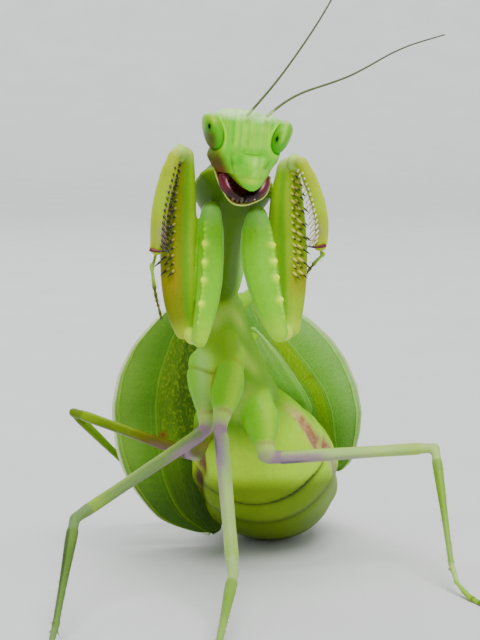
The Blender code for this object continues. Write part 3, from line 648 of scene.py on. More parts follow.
def add_walking_tibia(heap, leg, femur):
    """The shin of a walking leg, thinner, running into the ankle."""
    name = leg.replace("_", "_tibia_")
    tube = Tube([name], count=30, sides=28, start=femur.centres[-1], trim=(0.6, 0.6), blur=(2, 1.2))
    rings = tube.grid(330, 70, extend=(0.5, 1.1), cap=(0.6, 0.9), grow=0.04)
    along = rings["along"]
    offset = 0.03 * np.cos(4 * rings["angles"])[None, :] - 0.02 - 0.13 * step(along, 0.0, 0.7)
    offset += 0.05 * bell(along - 0.98, 0.03)
    # painted shade: the mid right shin is painted much darker; painted light: the side towards the lamps is
    # painted lighter
    shade = paint(50, 68, 28) if leg == "mid_right" else paint(112, 140, 56)
    lit = off_angle(rings, UP + FRONT + 0.6 * LEFT)
    tint = blend(LEG_LIT_AND_SHADED[leg], shade, 0.7 + 0.2 * np.sin(along * 5))
    tint = blend(tint, paint(150, 182, 118), 0.25 * step(1.0 - lit, 0, 0.6))
    add_rings(heap, rings, offset, tint)
    return tube


FOOT_JOINTS = (0.0, 0.42, 0.6, 0.73, 0.83, 1.0)   # where the five foot lengths begin and end


def add_tarsus(heap, name, toward):
    """Five foot lengths, each widening to its end, on thin joints; the front feet are thinner and darker."""
    fore = name.startswith("fore")
    tube = Tube([name], count=40, sides=20, start=toward, trim=(0.4, 0.4), blur=(1.4, 1.5))
    rings = tube.grid(240, 40, extend=(0.8, 0.35), cap=(0.9, 0.9))
    along = rings["along"]
    offset = np.zeros_like(rings["radii"]) + (-0.09 if fore else 0.02)
    tint = blend(LEG_PALE, OLIVE, 0.25 + 0.35 * along)
    if fore:
        tint = blend(tint, paint(58, 54, 20), 0.75 * step(along, 0.15, 0.45))
    for start, end in zip(FOOT_JOINTS, FOOT_JOINTS[1:]):
        share = np.clip((along - start) / (end - start), 0, 1)
        inside = (along >= start) & (along < end)
        offset += inside * (0.09 * share ** 2 - 0.06)
        tint = blend(tint, MAROON * 0.4, 0.75 * bell((along - end) * tube_length(tube), 0.16))
    add_rings(heap, rings, offset, tint)
    return tube


def add_cercus(heap, name):
    """A short tail feeler of beaded rings."""
    tube = Tube([name], count=20, sides=16, start=middle("abdomen_7"), trim=(0.3, 0.3), blur=(1, 1))
    rings = tube.grid(180, 36, extend=(0.9, 0.3), cap=(0.9, 1.0), grow=0.02)
    along = rings["along"]
    beads = np.cos(along * 62)
    add_rings(heap, rings, 0.05 * beads, blend(LEAF, OLIVE, 0.5 - 0.4 * beads))


def add_bridge(heap, start, end, wide, tint):
    """A round body between two places, whose radius runs from the first of wide to the second."""
    share = np.linspace(0, 1, 32)[:, None]
    line = start + (end - start) * share
    way = unit(end - start)
    side = unit(np.cross(way, np.array([0.2, 0.3, 0.9])))
    face = np.cross(way, side)
    radius = wide[0] + (wide[1] - wide[0]) * share
    angle = np.linspace(0, 2 * math.pi, 48, endpoint=False)
    ring = np.cos(angle)[None, :, None] * side + np.sin(angle)[None, :, None] * face
    heap.add(line[:, None] + radius[:, :, None] * ring, tint)


def add_link(heap, above, below, tint, narrow=0.8):
    """The thin joint between the end of one limb length and the start of the next."""
    wide = above.radii[-1].mean() * narrow, below.radii[0].mean() * min(1, narrow + 0.3)
    add_bridge(heap, above.centres[-1], below.centres[0], wide, tint)


def add_knee(heap, above, below, tint):
    """A knee: both lengths run on straight until they come closest, and meet in a rounded bend."""
    start, end, first, second = above.centres[-1], below.centres[0], above.ways[-1], -below.ways[0]
    lines = np.stack([first, -second], axis=1)
    run, back = np.clip(np.linalg.lstsq(lines, end - start, rcond=None)[0], 0.1, 2.4)
    bend = (start + run * first + end + back * second) / 2
    wide, narrow = above.radii[-1].mean(), below.radii[0].mean()
    add_bridge(heap, start, bend, (wide * 1.08, wide * 1.04), tint)
    add_bridge(heap, bend, end, (narrow, narrow), tint)
    add_ball(heap, bend, (wide * 1.03,) * 3, tint)
    return bend


def add_root(heap, limb, body, tint):
    """The soft fleshy root by which a walking leg grows out of the body, and the place of its shoulder."""
    nearest = int(np.argmin(np.linalg.norm(body.centres - limb.centres[0], axis=1)))
    wide = body.radii[nearest].mean() * 0.78, limb.radii[9].mean() * 1.02
    add_bridge(heap, body.centres[nearest], limb.centres[9], wide, tint)
    above = max(nearest - 8, 0)
    wide = body.radii[above].mean() * 0.62, limb.radii[5].mean() * 0.9
    add_bridge(heap, body.centres[above], limb.centres[5], wide, 0.7 * tint)
    return 0.35 * body.centres[above] + 0.65 * limb.centres[2]


HINGE_ROW = 5                 # row of a wing of 120 rows at which its root ends
HINGE_RADII = (1.9, 0.55)     # millimetres, in the body and in the wing


def add_hinge(heap, name, body, tint):
    """The root of a wing, which grows out of the back of the body."""
    root = wing_grid(name, 120, 20, 0.0)[0][HINGE_ROW].mean(0)
    nearest = int(np.argmin(np.linalg.norm(body.centres - root, axis=1)))
    add_bridge(heap, body.centres[nearest], root, HINGE_RADII, tint)


def tube_length(tube):
    """Length of a tube's middle line."""
    return np.linalg.norm(np.diff(tube.centres, axis=0), axis=1).sum()


# ---------------------------------------------------------------- from heap to smooth skin
def neighbours_mean(values, edges, count):
    """Mean of each vertex's neighbours."""
    ends = np.concatenate([edges[:, 0], edges[:, 1]])
    others = np.concatenate([edges[:, 1], edges[:, 0]])
    total = np.maximum(np.bincount(ends, minlength=count), 1)
    return np.stack([np.bincount(ends, weights=column[others], minlength=count)
                     for column in values.T], axis=1) / total[:, None]


def add_piece(name, data, material, tints, replaced=()):
    """Put a mesh that is in metres into the scene as a finished piece."""
    data.name = name
    data.shade_smooth()
    layer = data.color_attributes.new("tint", "FLOAT_COLOR", "POINT")
    full = np.concatenate([tints, np.ones((len(tints), 1))], axis=1)
    layer.data.foreach_set("color", full.astype(np.float32).ravel())
    data.materials.clear()
    data.materials.append(material)
    piece = bpy.data.objects.new(name, data)
    bpy.context.scene.collection.objects.link(piece)
    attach(piece, "root")
    if replaced:
        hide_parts(*replaced)
    return piece


def add_heap(heap, name, material, replaced=()):
    """Put a heap into the scene as a finished piece."""
    data, tints = heap.mesh(name)
    data.transform(MM_SCALE)
    return add_piece(name, data, material, tints, replaced)


def melted(coords, colours, edges, joints):
    """Skin melted together round each joint, so that no crease is left where limbs meet the body."""
    for place, reach, rounds in joints:
        share = step(reach - np.linalg.norm(coords - place, axis=1), 0, reach * 0.45)
        near = share > 0
        number = np.cumsum(near) - 1
        local = number[edges[near[edges].all(axis=1)]]
        shape, tone, pull = coords[near], colours[near], 0.5 * share[near][:, None]
        for k in range(rounds):
            shape += pull * (neighbours_mean(shape, local, len(shape)) - shape)
            if k % 4 == 0:
                tone += pull * (neighbours_mean(tone, local, len(tone)) - tone)
        coords[near], colours[near] = shape, tone


def fused(heap, voxel, rounds, joints):
    """The heap as one closed skin in metres, smoothed, with its colours carried over."""
    data, tints = heap.mesh("heap")
    source = np.concatenate(heap.coords)
    helper = bpy.data.objects.new("heap", data)
    bpy.context.scene.collection.objects.link(helper)
    remesh = helper.modifiers.new("remesh", "REMESH")
    remesh.mode = "VOXEL"
    remesh.voxel_size = voxel
    skin = bpy.data.meshes.new_from_object(helper.evaluated_get(bpy.context.evaluated_depsgraph_get()))
    bpy.data.objects.remove(helper)
    bpy.data.meshes.remove(data)
    count = len(skin.vertices)
    coords = np.empty(count * 3)
    skin.vertices.foreach_get("co", coords)
    coords = coords.reshape(-1, 3)
    edges = np.empty(len(skin.edges) * 2, int)
    skin.edges.foreach_get("vertices", edges)
    edges = edges.reshape(-1, 2)
    tree = kdtree.KDTree(len(source))
    for k, place in enumerate(source):
        tree.insert(place, k)
    tree.balance()
    nearest = np.array([tree.find(place)[1] for place in coords])
    colours = tints[nearest]
    for pull in (0.5, -0.52) * rounds:
        coords = coords + pull * (neighbours_mean(coords, edges, count) - coords)
    for pull in (0.5, 0.5, 0.5):
        colours = colours + pull * (neighbours_mean(colours, edges, count) - colours)
    melted(coords, colours, edges, joints)
    coords[:, 2] = np.maximum(coords[:, 2], 0.0)
    skin.vertices.foreach_set("co", (coords * MM).ravel())
    skin.update()
    return skin, colours


# ---------------------------------------------------------------- materials
class Nodes:
    """Shorthand for building one node material."""

    def __init__(self, name):
        """A new material with its shader and the place on the model."""
        self.material = bpy.data.materials.new(name)
        self.material.use_nodes = True
        self.tree = self.material.node_tree
        self.shader = self.tree.nodes["Principled BSDF"]
        self.place = self.tree.nodes.new("ShaderNodeTexCoord").outputs["Object"]

    def add(self, kind, inputs=None, **settings):
        """A node with its settings, its inputs joined or given."""
        made = self.tree.nodes.new(kind)
        for key, value in settings.items():
            setattr(made, key, value)
        for key, value in (inputs or {}).items():
            self.join(value, made.inputs[key])
        return made

    def join(self, value, socket):
        """Link another node's output to a socket, or give the socket a value."""
        if isinstance(value, bpy.types.NodeSocket):
            self.tree.links.new(value, socket)
        else:
            socket.default_value = value

    def noise(self, scale, detail=4.0, rough=0.55, stretch=None):
        """Cloudy noise over the model."""
        place = self.place
        if stretch is not None:
            place = self.add("ShaderNodeMapping", {"Vector": place, "Scale": stretch}).outputs["Vector"]
        return self.add("ShaderNodeTexNoise", {"Vector": place, "Scale": scale, "Detail": detail,
                                               "Roughness": rough}).outputs["Fac"]

    def cells(self, scale, feature="F1"):
        """Distance to the nearest cell centre or edge."""
        return self.add("ShaderNodeTexVoronoi", {"Vector": self.place, "Scale": scale},
                        feature=feature).outputs["Distance"]

    def ramp(self, value, low, high, out_low=0.0, out_high=1.0):
        """A value carried from one range to another."""
        return self.add("ShaderNodeMapRange", {"Value": value, "From Min": low, "From Max": high,
                                               "To Min": out_low, "To Max": out_high}).outputs["Result"]

    def mix(self, share, first, second, mode="MIX"):
        """Two colours mixed by a share."""
        made = self.add("ShaderNodeMix", data_type="RGBA", blend_type=mode)
        self.join(share, made.inputs[0])
        self.join(first, made.inputs[6])
        self.join(second, made.inputs[7])
        return made.outputs[2]

    def sum(self, first, second, operation="ADD"):
        """Two values joined by a sum or another operation."""
        return self.add("ShaderNodeMath", {0: first, 1: second}, operation=operation).outputs[0]

    def tint(self):
        """The painted colour of the mesh."""
        return self.add("ShaderNodeAttribute", attribute_name="tint").outputs["Color"]

    def bump(self, height, strength, distance=0.00005):
        """A surface direction roughened by a height."""
        return self.add("ShaderNodeBump", {"Height": height, "Strength": strength,
                                           "Distance": distance}).outputs["Normal"]

    def finish(self, colour, roughness, normal, **plain):
        """The material, once its shader has its values."""
        self.join(colour, self.shader.inputs["Base Color"])
        self.join(roughness, self.shader.inputs["Roughness"])
        self.join(normal, self.shader.inputs["Normal"])
        for key, value in plain.items():
            self.shader.inputs[key.replace("_", " ")].default_value = value
        return self.material


def shell_material(name, rough=0.42, pits=0.5, depth=0.35, patch=260.0):
    """Living green shell: the painted colour, broken by fine mottling, with pits and a waxy gloss."""
    n = Nodes(name)
    cloud = n.noise(patch, 5.0)
    speck = n.noise(2400.0, 3.0, 0.6)
    cells = n.cells(3600.0)
    light = n.mix(n.ramp(cloud, 0.35, 0.7), n.tint(), (1.22, 1.12, 0.95, 1.0), "MULTIPLY")
    dark = n.mix(n.ramp(speck, 0.52, 0.72, 0.0, 0.5), light, (0.74, 0.82, 0.62, 1.0), "MULTIPLY")
    final = n.mix(n.ramp(cells, 0.0, 0.5, 0.22, 0.0), dark, (0.62, 0.75, 0.45, 1.0), "MULTIPLY")
    gloss = n.ramp(cloud, 0.3, 0.75, rough - 0.08, rough + 0.12)
    height = n.sum(n.sum(cells, pits, "MULTIPLY"), speck)
    normal = n.bump(height, depth, 0.00004)
    return n.finish(final, gloss, normal, Subsurface_Weight=0.08, Subsurface_Scale=0.0005,
                    Subsurface_Radius=GREEN_DEPTH, Specular_IOR_Level=0.14)


def plain_material(name, noise, shade, gloss, depth, **plain):
    """The painted colour, shaded, glossed and roughened by one noise."""
    n = Nodes(name)
    grain = n.noise(*noise)
    colour = n.mix(n.ramp(grain, 0.35, 0.7), n.tint(), (*shade, 1.0), "MULTIPLY")
    return n.finish(colour, n.ramp(grain, 0.3, 0.7, *gloss), n.bump(grain, depth), **plain)


def lip_material():
    """Soft moist lining with fine wrinkles."""
    return plain_material("lip_lining", (1500.0, 5.0, 0.6), (0.72, 0.7, 0.7), (0.25, 0.45), 0.4,
                          Coat_Weight=0.4, Coat_Roughness=0.15, Subsurface_Weight=0.15,
                          Subsurface_Scale=0.0004)


# ---------------------------------------------------------------- camera, floor, light
CAMERA_FROM_HEAD = np.array([-0.762, -200.725, 2.581])   # millimetres from the middle of the head
CAMERA_PITCH = 84.0           # degrees up from looking straight down
LENS = 109.125                # millimetres, for a film 36 mm wide
LAMPS = (                     # name, kind, place from the breast in metres, size or angle, power
    ("key", "SUN", (0.10, -0.42, 0.66), 0.6, 3.0),
    ("fill", "AREA", (0.55, -0.50, 0.30), 0.6, 1.0),
    ("top", "AREA", (-0.10, 0.05, 0.75), 0.5, 2.4),
    ("rim", "AREA", (-0.25, 0.55, 0.35), 0.35, 0.6),
)


def set_camera():
    """Camera at the viewing angle of the photo."""
    data = bpy.data.cameras.new("camera")
    data.lens = LENS
    data.sensor_width = 36.0
    data.clip_start = 0.005
    camera = bpy.data.objects.new("camera", data)
    bpy.context.scene.collection.objects.link(camera)
    camera.location = Vector((middle("head") + CAMERA_FROM_HEAD) * MM)
    camera.rotation_euler = (math.radians(CAMERA_PITCH), 0.0, 0.0)
    bpy.context.scene.camera = camera


def set_floor():
    """A pale paper floor that sweeps up all round."""
    flat, sweep, turns, steps = 1.2, 1.2, 96, 32
    climb = np.linspace(0, math.pi / 2, steps)
    reach = np.concatenate([np.linspace(0.02, flat, 24, endpoint=False), flat + sweep * np.sin(climb)])
    height = np.concatenate([np.zeros(24), sweep * (1 - np.cos(climb))])
    around = np.linspace(0, 2 * math.pi, turns, endpoint=False)
    bowl = np.stack([reach[:, None] * np.cos(around), reach[:, None] * np.sin(around),
                     height[:, None] * np.ones(turns)], axis=-1)
    coords, faces = grid_mesh(bowl)
    mesh = bpy.data.meshes.new("floor")
    mesh.from_pydata(coords.tolist(), [], faces[:-1])
    mesh.shade_smooth()
    n = Nodes("floor_paper")
    shade = n.mix(n.ramp(n.noise(30.0), 0.3, 0.7), (0.70, 0.71, 0.71, 1.0), (0.74, 0.75, 0.75, 1.0))
    mesh.materials.append(n.finish(shade, 0.85, n.bump(n.noise(900.0), 0.05)))
    sheet = bpy.data.objects.new("floor", mesh)
    bpy.context.scene.collection.objects.link(sheet)


def set_lights():
    """Soft studio lamps and an even pale surrounding."""
    aim = Vector(middle("mesothorax") * MM)
    for name, kind, place, size, power in LAMPS:
        light = bpy.data.lights.new(name, kind)
        if kind == "SUN":
            light.angle = size
        else:
            light.size = size
        light.energy = power
        lamp = bpy.data.objects.new(name, light)
        lamp.location = aim + Vector(place)
        lamp.rotation_euler = (aim - lamp.location).to_track_quat("-Z", "Y").to_euler()
        bpy.context.scene.collection.objects.link(lamp)
    world = bpy.data.worlds.new("studio")
    world.use_nodes = True
    world.node_tree.nodes["Background"].inputs["Color"].default_value = (0.80, 0.83, 0.85, 1.0)
    world.node_tree.nodes["Background"].inputs["Strength"].default_value = 0.50
    bpy.context.scene.world = world


# ---------------------------------------------------------------- head
def spread(name):
    """Least and greatest head-axis coordinates of a node."""
    coords = solid(name)[0] - HEAD_AT
    local = np.stack([coords @ HEAD_X, coords @ HEAD_Y, coords @ HEAD_Z], axis=1)
    return local.min(0), local.max(0)


EYE_LOW, EYE_HIGH = spread("eye_left")
EYE_CENTRE, EYE_RADII = (EYE_LOW + EYE_HIGH) / 2, (EYE_HIGH - EYE_LOW) / 2
EYE_LEAN = 0.24               # how far the top of an eye splays out, as a share of its height
EYE_SHIFT = {                 # sideways shift, change of half width, lift and change of half height
    "right": (-0.33, -0.30, 0.14, 0.0),
    "left": (-0.40, -0.10, 0.16, -0.12),
}
EYE_SPOT = {                  # where the dark spot lies in each eye, sideways and up from its middle
    "right": (-0.72, 0.49),
    "left": (-0.42, -0.12),
}
HEAD_SIDES = ((-1, "right"), (1, "left"))   # sign of the head's sideways axis, and name
HEAD_GRID = (268, 370)        # rows up the head and places round it
EYE_GRID = (124, 200)
HEAD_PROFILE = np.array([     # share up, half width, reach forward, reach back, power of the outline
    (0.00, 0.78, 0.86, 0.70, 1.55), (0.10, 0.90, 0.93, 0.80, 1.6), (0.22, 1.00, 0.98, 0.90, 1.8),
    (0.36, 1.05, 1.00, 0.98, 2.0), (0.52, 1.05, 0.99, 1.00, 2.1), (0.70, 1.05, 0.93, 0.98, 2.3),
    (0.84, 1.12, 0.80, 0.86, 2.6), (0.92, 1.10, 0.68, 0.74, 2.8), (0.97, 1.00, 0.54, 0.58, 2.6),
    (1.00, 0.78, 0.40, 0.44, 2.3),
])
OCELLI = ((0.0, 3.35), (-0.42, 3.75), (0.42, 3.75))   # the three small eyes: sideways and up
FACE_SPOTS = (                # dull spots of the face: place sideways and up, size, strength
    ((-1.9, -0.45), 0.22, 0.4), ((-0.75, 0.05), 0.2, 0.35), ((0.9, -0.1), 0.25, 0.3),
    ((-1.7, -1.35), 0.26, 0.45), ((1.5, -1.5), 0.22, 0.3),
)


def superellipse(angle, power):
    """Unit superellipse as x and y shares."""
    return tuple(np.sign(part) * np.abs(part) ** (2 / power) for part in (np.cos(angle), np.sin(angle)))


def uneven(x, count):
    """Soft bands of uneven width and strength across the face, from 0 to 1."""
    heights = RNG.random(count)
    band = (x / 9.0 + 0.5) * (count - 1)
    first = np.clip(band.astype(int), 0, count - 2)
    share = step(band - first, 0.0, 1.0)
    return heights[first] * (1 - share) + heights[first + 1] * share


def build_head():
    """The head capsule: flat brow, streaked face, orbits round the eyes, cheeks and face shield."""
    low, high = spread("head")
    tall, wide = high[2] - low[2], max(-low[0], high[0])
    rows, columns = HEAD_GRID
    share = np.linspace(0, 1, rows)
    profile = np.stack([np.interp(share, HEAD_PROFILE[:, 0], column) for column in HEAD_PROFILE[:, 1:].T],
                       axis=1)
    half, front, back, power = (column[:, None] for column in blurred(profile, 6).T)
    share = share[:, None]
    angle = np.linspace(0, 2 * math.pi, columns, endpoint=False)[None, :]
    sideways, deep = superellipse(angle, power)
    x = sideways * half * wide
    y = deep * np.where(deep > 0, back * high[1], front * -low[1])
    x = x * (1 + 0.08 * step(y, -0.4, 1.0) * step(0.5 - share, 0, 0.3)) * np.where(x > 0, 0.94, 1.0)
    z = (low[2] - 0.35 + share * (tall + 0.33)) * np.ones_like(x)
    x -= (0.30 * bell(z + 1.9, 1.0) + 0.40 * bell(z + 0.70, 0.85)) * step(-x, 1.6, 3.2)
    x -= 0.30 * bell(z + 1.8, 0.9) * step(x, 1.4, 2.8)
    z += 0.15 * bell(x, 1.6) * step(share, 0.9, 1.0)
    z -= 0.10 * np.maximum(x + 1.2, 0) * step(share, 0.7, 1.0)
    forward = step(-y, 0.2, 1.2)
    shift, slim, raised, squat = (np.where(x > 0, one, other)
                                  for one, other in zip(EYE_SHIFT["left"], EYE_SHIFT["right"]))
    shift = np.where(x > 0, shift, -shift)
    outward = np.abs(x) - EYE_CENTRE[0] - shift - 0.3 - EYE_LEAN * (z - EYE_CENTRE[2])
    eye = np.hypot(outward / (EYE_RADII[0] + slim + 0.06),
                   (z - EYE_CENTRE[2] - raised + 0.1) / (EYE_RADII[2] + squat - 0.12))
    y = y + forward * 1.15 * step(1.0 - eye, 0.0, 0.22)
    lift = forward * 0.17 * bell(eye - 1.05, 0.07)
    lift += forward * 0.10 * (bell(np.abs(x) - 1.15, 0.20) + bell(x, 0.22)) * step(z, -0.2, 0.8)
    lift -= forward * 0.12 * bell(np.abs(x) - 1.72, 0.10) * step(z, 0.0, 1.0)
    suture = -0.38 + 0.10 * x * x - z
    lift -= forward * 0.08 * bell(suture, 0.07) * step(1.3 - np.abs(x), 0, 0.8)
    lift += forward * 0.22 * step(suture, 0.0, 0.9) * bell(x, 1.3)
    cheek = np.abs(x) - 1.75 - 0.35 * (z + 1.6)
    lift -= forward * 0.14 * bell(cheek, 0.10) * step(-0.6 - z, 0, 0.5)
    lift += 0.10 * bell(np.hypot(np.abs(x) - 0.95, z - 3.35), 0.45)
    for place in OCELLI:
        lift += 0.16 * bell(np.hypot(x - place[0], z - place[1]), 0.16) * forward
    y = y - lift
    top = step(z, 2.7, 3.9)
    streak = uneven(x + 0.05 * np.sin(z * 2.1), 26)
    fine = uneven(x + 0.04 * np.sin(z * 1.3), 60)
    mint = paint(178, 232, 120)
    tint = blend(paint(136, 198, 34), paint(100, 156, 40), 0.6 * streak * step(z, -0.6, 0.6))
    tint = blend(tint, paint(196, 226, 54), 0.5 * fine * step(z, -0.2, 0.8) * forward)
    tint = blend(tint, paint(188, 232, 150), 0.3 * forward * uneven(x, 16) * step(z, -0.3, 0.6))
    tint = blend(tint, paint(112, 182, 34), 0.85 * bell(np.abs(x) - 2.02, 0.20) * forward * step(z, 0.2, 1.0))
    tint = blend(tint, mint, 0.8 * bell(np.abs(x) - 1.62, 0.11) * forward * step(z, 0.2, 0.9))
    # painted highlight: the top of the head is painted near white
    tint = blend(tint, paint(222, 252, 206), 0.8 * top)
    tint = blend(tint, mint, 0.75 * bell(eye - 1.12, 0.11) * forward)
    tint = blend(tint, paint(126, 190, 52), 0.8 * step(1.03 - eye, 0, 0.1) * forward)
    face = forward * step(-0.35 - z, 0, 0.3)
    # painted highlight: a broad pale mint patch on the lower face
    tint = blend(tint, mint, 0.45 * face * bell(x - 0.35, 0.75) * bell(z + 1.2, 0.9))
    tint = blend(tint, mint, 0.40 * face * bell(np.abs(x + 0.1) - 1.45, 0.16))
    tint = blend(tint, paint(110, 168, 50), 0.5 * face * bell(np.abs(x) - 1.0, 0.22) * bell(z + 0.9, 0.5))
    tint = blend(tint, paint(96, 136, 60), 0.5 * forward * bell(suture, 0.06) * step(1.2 - np.abs(x), 0, 0.7))
    # painted highlights: two pale spots on the lower face
    tint = blend(tint, paint(206, 244, 170), 0.5 * face * bell(np.hypot((x - 0.45) / 0.5, z + 1.1), 0.6))
    tint = blend(tint, paint(206, 244, 170), 0.4 * face * bell(np.hypot((x - 1.15) / 0.35, z + 1.2), 0.7))
    tint = blend(tint, paint(98, 172, 20), 0.6 * face * bell(np.hypot((x + 1.35) / 0.6, z + 0.9), 0.8))
    for place, size, strength in FACE_SPOTS:
        spot = np.hypot(x - place[0], z - place[1])
        tint = blend(tint, paint(92, 140, 60), strength * forward * bell(spot, size))
    # painted shade: the cheek below the right eye is painted dark olive to brown, and the lower left cheek
    # lightly
    gena_shade = step(-x - 3.15 - 0.52 * z, -0.60, 0.60) * step(1.4 - z, 0, 1.2)
    gena_shade += 0.4 * step(x, 2.6, 3.2) * step(-z, 0, 1)
    olive = blend(paint(98, 118, 6), paint(72, 60, 0), step(-0.1 - z, 0, 1.2))
    tint = blend(tint, olive, 0.97 * np.clip(gena_shade, 0, 1))
    # painted shade: a reddish brown patch near the right mouth corner continues the cheek's shade
    reddish_shade = bell(np.hypot((x + 2.75) / 1.1, (z + 2.3) / 0.8), 0.7)
    tint = blend(tint, paint(96, 44, 10), 0.5 * reddish_shade)
    tint = blend(tint, paint(84, 120, 20), 0.5 * forward * bell(cheek, 0.10) * step(-0.6 - z, 0, 0.5))
    heap = Heap()
    heap.add(head_places(np.stack([x, y, z], axis=-1)), tint)
    add_heap(heap, "head_capsule", shell_material("head_shell", 0.34, 0.4, 0.4, 900.0),
             ["head"])


def build_eyes():
    """Bulging green eyes with a soft rim painted paler, painted highlights and shade, and the small dark spot
    that faces the viewer.
    """
    rows, columns = EYE_GRID
    for side, label in HEAD_SIDES:
        spot = EYE_SPOT[label]
        sideways, slim, lift, low = EYE_SHIFT[label]
        centre = EYE_CENTRE * (side, 1, 1) + (sideways, 0, lift - 0.12)
        polar = np.linspace(0.01, math.pi - 0.01, rows)[:, None]
        angle = np.linspace(0, 2 * math.pi, columns, endpoint=False)[None, :]
        radii = EYE_RADII + (0.06 + slim, 0.06, low - 0.06)
        girth, height = superellipse(math.pi / 2 - polar, 2.3)
        out = radii[0] * girth * np.cos(angle) * (1 + 0.12 * height)
        deep = radii[1] * girth * np.sin(angle)
        tall = radii[2] * height * np.ones_like(out)
        local = centre + np.stack([out + side * EYE_LEAN * tall, deep, tall], axis=-1)
        seen = step(-deep, 0.0, 0.5)
        # painted light and shade: each eye is painted lighter at the top and darker at the bottom
        tint = blend(paint(96, 164, 0), paint(140, 186, 10), 0.5 + 0.5 * np.cos(polar))
        if side < 0:
            # painted shade: the lower outer side of the right eye is painted dark olive
            tint = blend(tint, paint(84, 84, 0), 0.95 * step(-out, -0.2, 0.6) * step(0.6 - tall, 0, 1.2))
            # painted highlight: a yellowish patch near the top of the right eye
            tint = blend(tint, paint(190, 206, 60), 0.5 * bell(np.hypot(out + 0.2, tall - 1.25), 0.5))
        else:
            # painted highlight: a pale upright band down the left eye
            tint = blend(tint, paint(188, 226, 140), 0.75 * bell(out - 0.15, 0.24) * step(tall, -0.9, 0.4))
            tint = blend(tint, paint(160, 196, 10), 0.6 * step(out, 0.7, 1.2))
        edge = np.hypot(out / radii[0], tall / radii[2])
        # painted light: the rim and the inner side of each eye are painted paler
        tint = blend(tint, paint(176, 214, 96), 0.4 * step(edge, 0.9, 0.99) * step(tall, -0.5, 0.5))
        tint = blend(tint, paint(168, 214, 84), 0.6 * step(-side * out, 0.62, 0.95))
        # painted highlight: the top of each eye is painted near white
        tint = blend(tint, paint(216, 238, 200), 0.8 * step(height, 0.72, 0.98))
        pupil = np.hypot((out + side * (EYE_LEAN - 0.1) * tall - spot[0]) / 0.115, (tall - spot[1]) / 0.27)
        tint = blend(tint, paint(40, 84, 16), 0.8 * bell(pupil, 2.0) * seen)
        tint = blend(tint, paint(6, 9, 6), step(1.25 - pupil, 0, 0.5) * seen)
        heap = Heap()
        heap.add(head_places(local), tint)
        add_heap(heap, "eye_skin_" + label, EYE_MATERIAL, ["eye_" + label])


def eye_material():
    """Wet looking facets under a clear coat."""
    n = Nodes("eye_facets")
    facets = n.cells(15000.0)
    cloud = n.noise(500.0)
    colour = n.mix(n.ramp(cloud, 0.35, 0.7, 0.0, 0.6), n.tint(), (0.72, 0.86, 0.55, 1.0), "MULTIPLY")
    colour = n.mix(n.ramp(facets, 0.2, 0.6, 0.0, 0.25), colour, (0.6, 0.75, 0.4, 1.0), "MULTIPLY")
    return n.finish(colour, n.ramp(cloud, 0.3, 0.7, 0.28, 0.38), n.bump(facets, 0.12, 0.00002),
                    Coat_Weight=0.05, Coat_Roughness=0.15, Specular_IOR_Level=0.12,
                    Subsurface_Weight=0.06, Subsurface_Scale=0.0004, Subsurface_Radius=GREEN_DEPTH)


def sheet_piece(name, local, tint, material, replaced, thick):
    """A thin shaped plate from a grid of head-axis places, given its thickness."""
    heap = Heap()
    heap.add(head_places(local), tint, closed=False, ends=False)
    piece = add_heap(heap, name, material, replaced)
    shell = piece.modifiers.new("thickness", "SOLIDIFY")
    shell.thickness = thick * MM
    shell.offset = 0.0


UPPER_LIP_WIDTHS = np.array([  # share down the upper lip, and its half width
    (0.0, 2.5), (0.2, 2.25), (0.45, 1.85), (0.65, 1.45), (0.82, 1.05), (0.93, 0.7), (1.0, 0.2),
])
LOWER_LIP_RIM = (             # places along the cream rim, in the head's axes
    (-3.15, 0.05, -2.35), (-2.75, -0.10, -3.25), (-2.15, -0.28, -4.25), (-1.45, -0.42, -5.15),
    (-0.75, -0.5, -5.54), (0.25, -0.5, -5.52), (1.2, -0.45, -5.12), (2.05, -0.35, -4.6),
    (2.55, -0.18, -3.7), (2.65, 0.0, -2.45),
)
RIM_POINTS = 160              # places along the rim once it is smooth
MOUTH_LOBES = (               # place sideways and up in the head's axes, size, colour
    (-1.05, -4.95, 0.26, paint(96, 60, 50)), (-0.6, -5.12, 0.22, paint(40, 36, 16)),
    (-0.15, -5.07, 0.28, paint(60, 56, 24)), (0.3, -5.1, 0.22, paint(28, 22, 12)),
    (0.72, -4.9, 0.27, paint(196, 168, 120)), (1.15, -4.75, 0.24, paint(188, 140, 120)),
    (1.6, -4.4, 0.26, paint(176, 120, 110)), (-1.5, -4.58, 0.22, paint(120, 96, 80)),
)


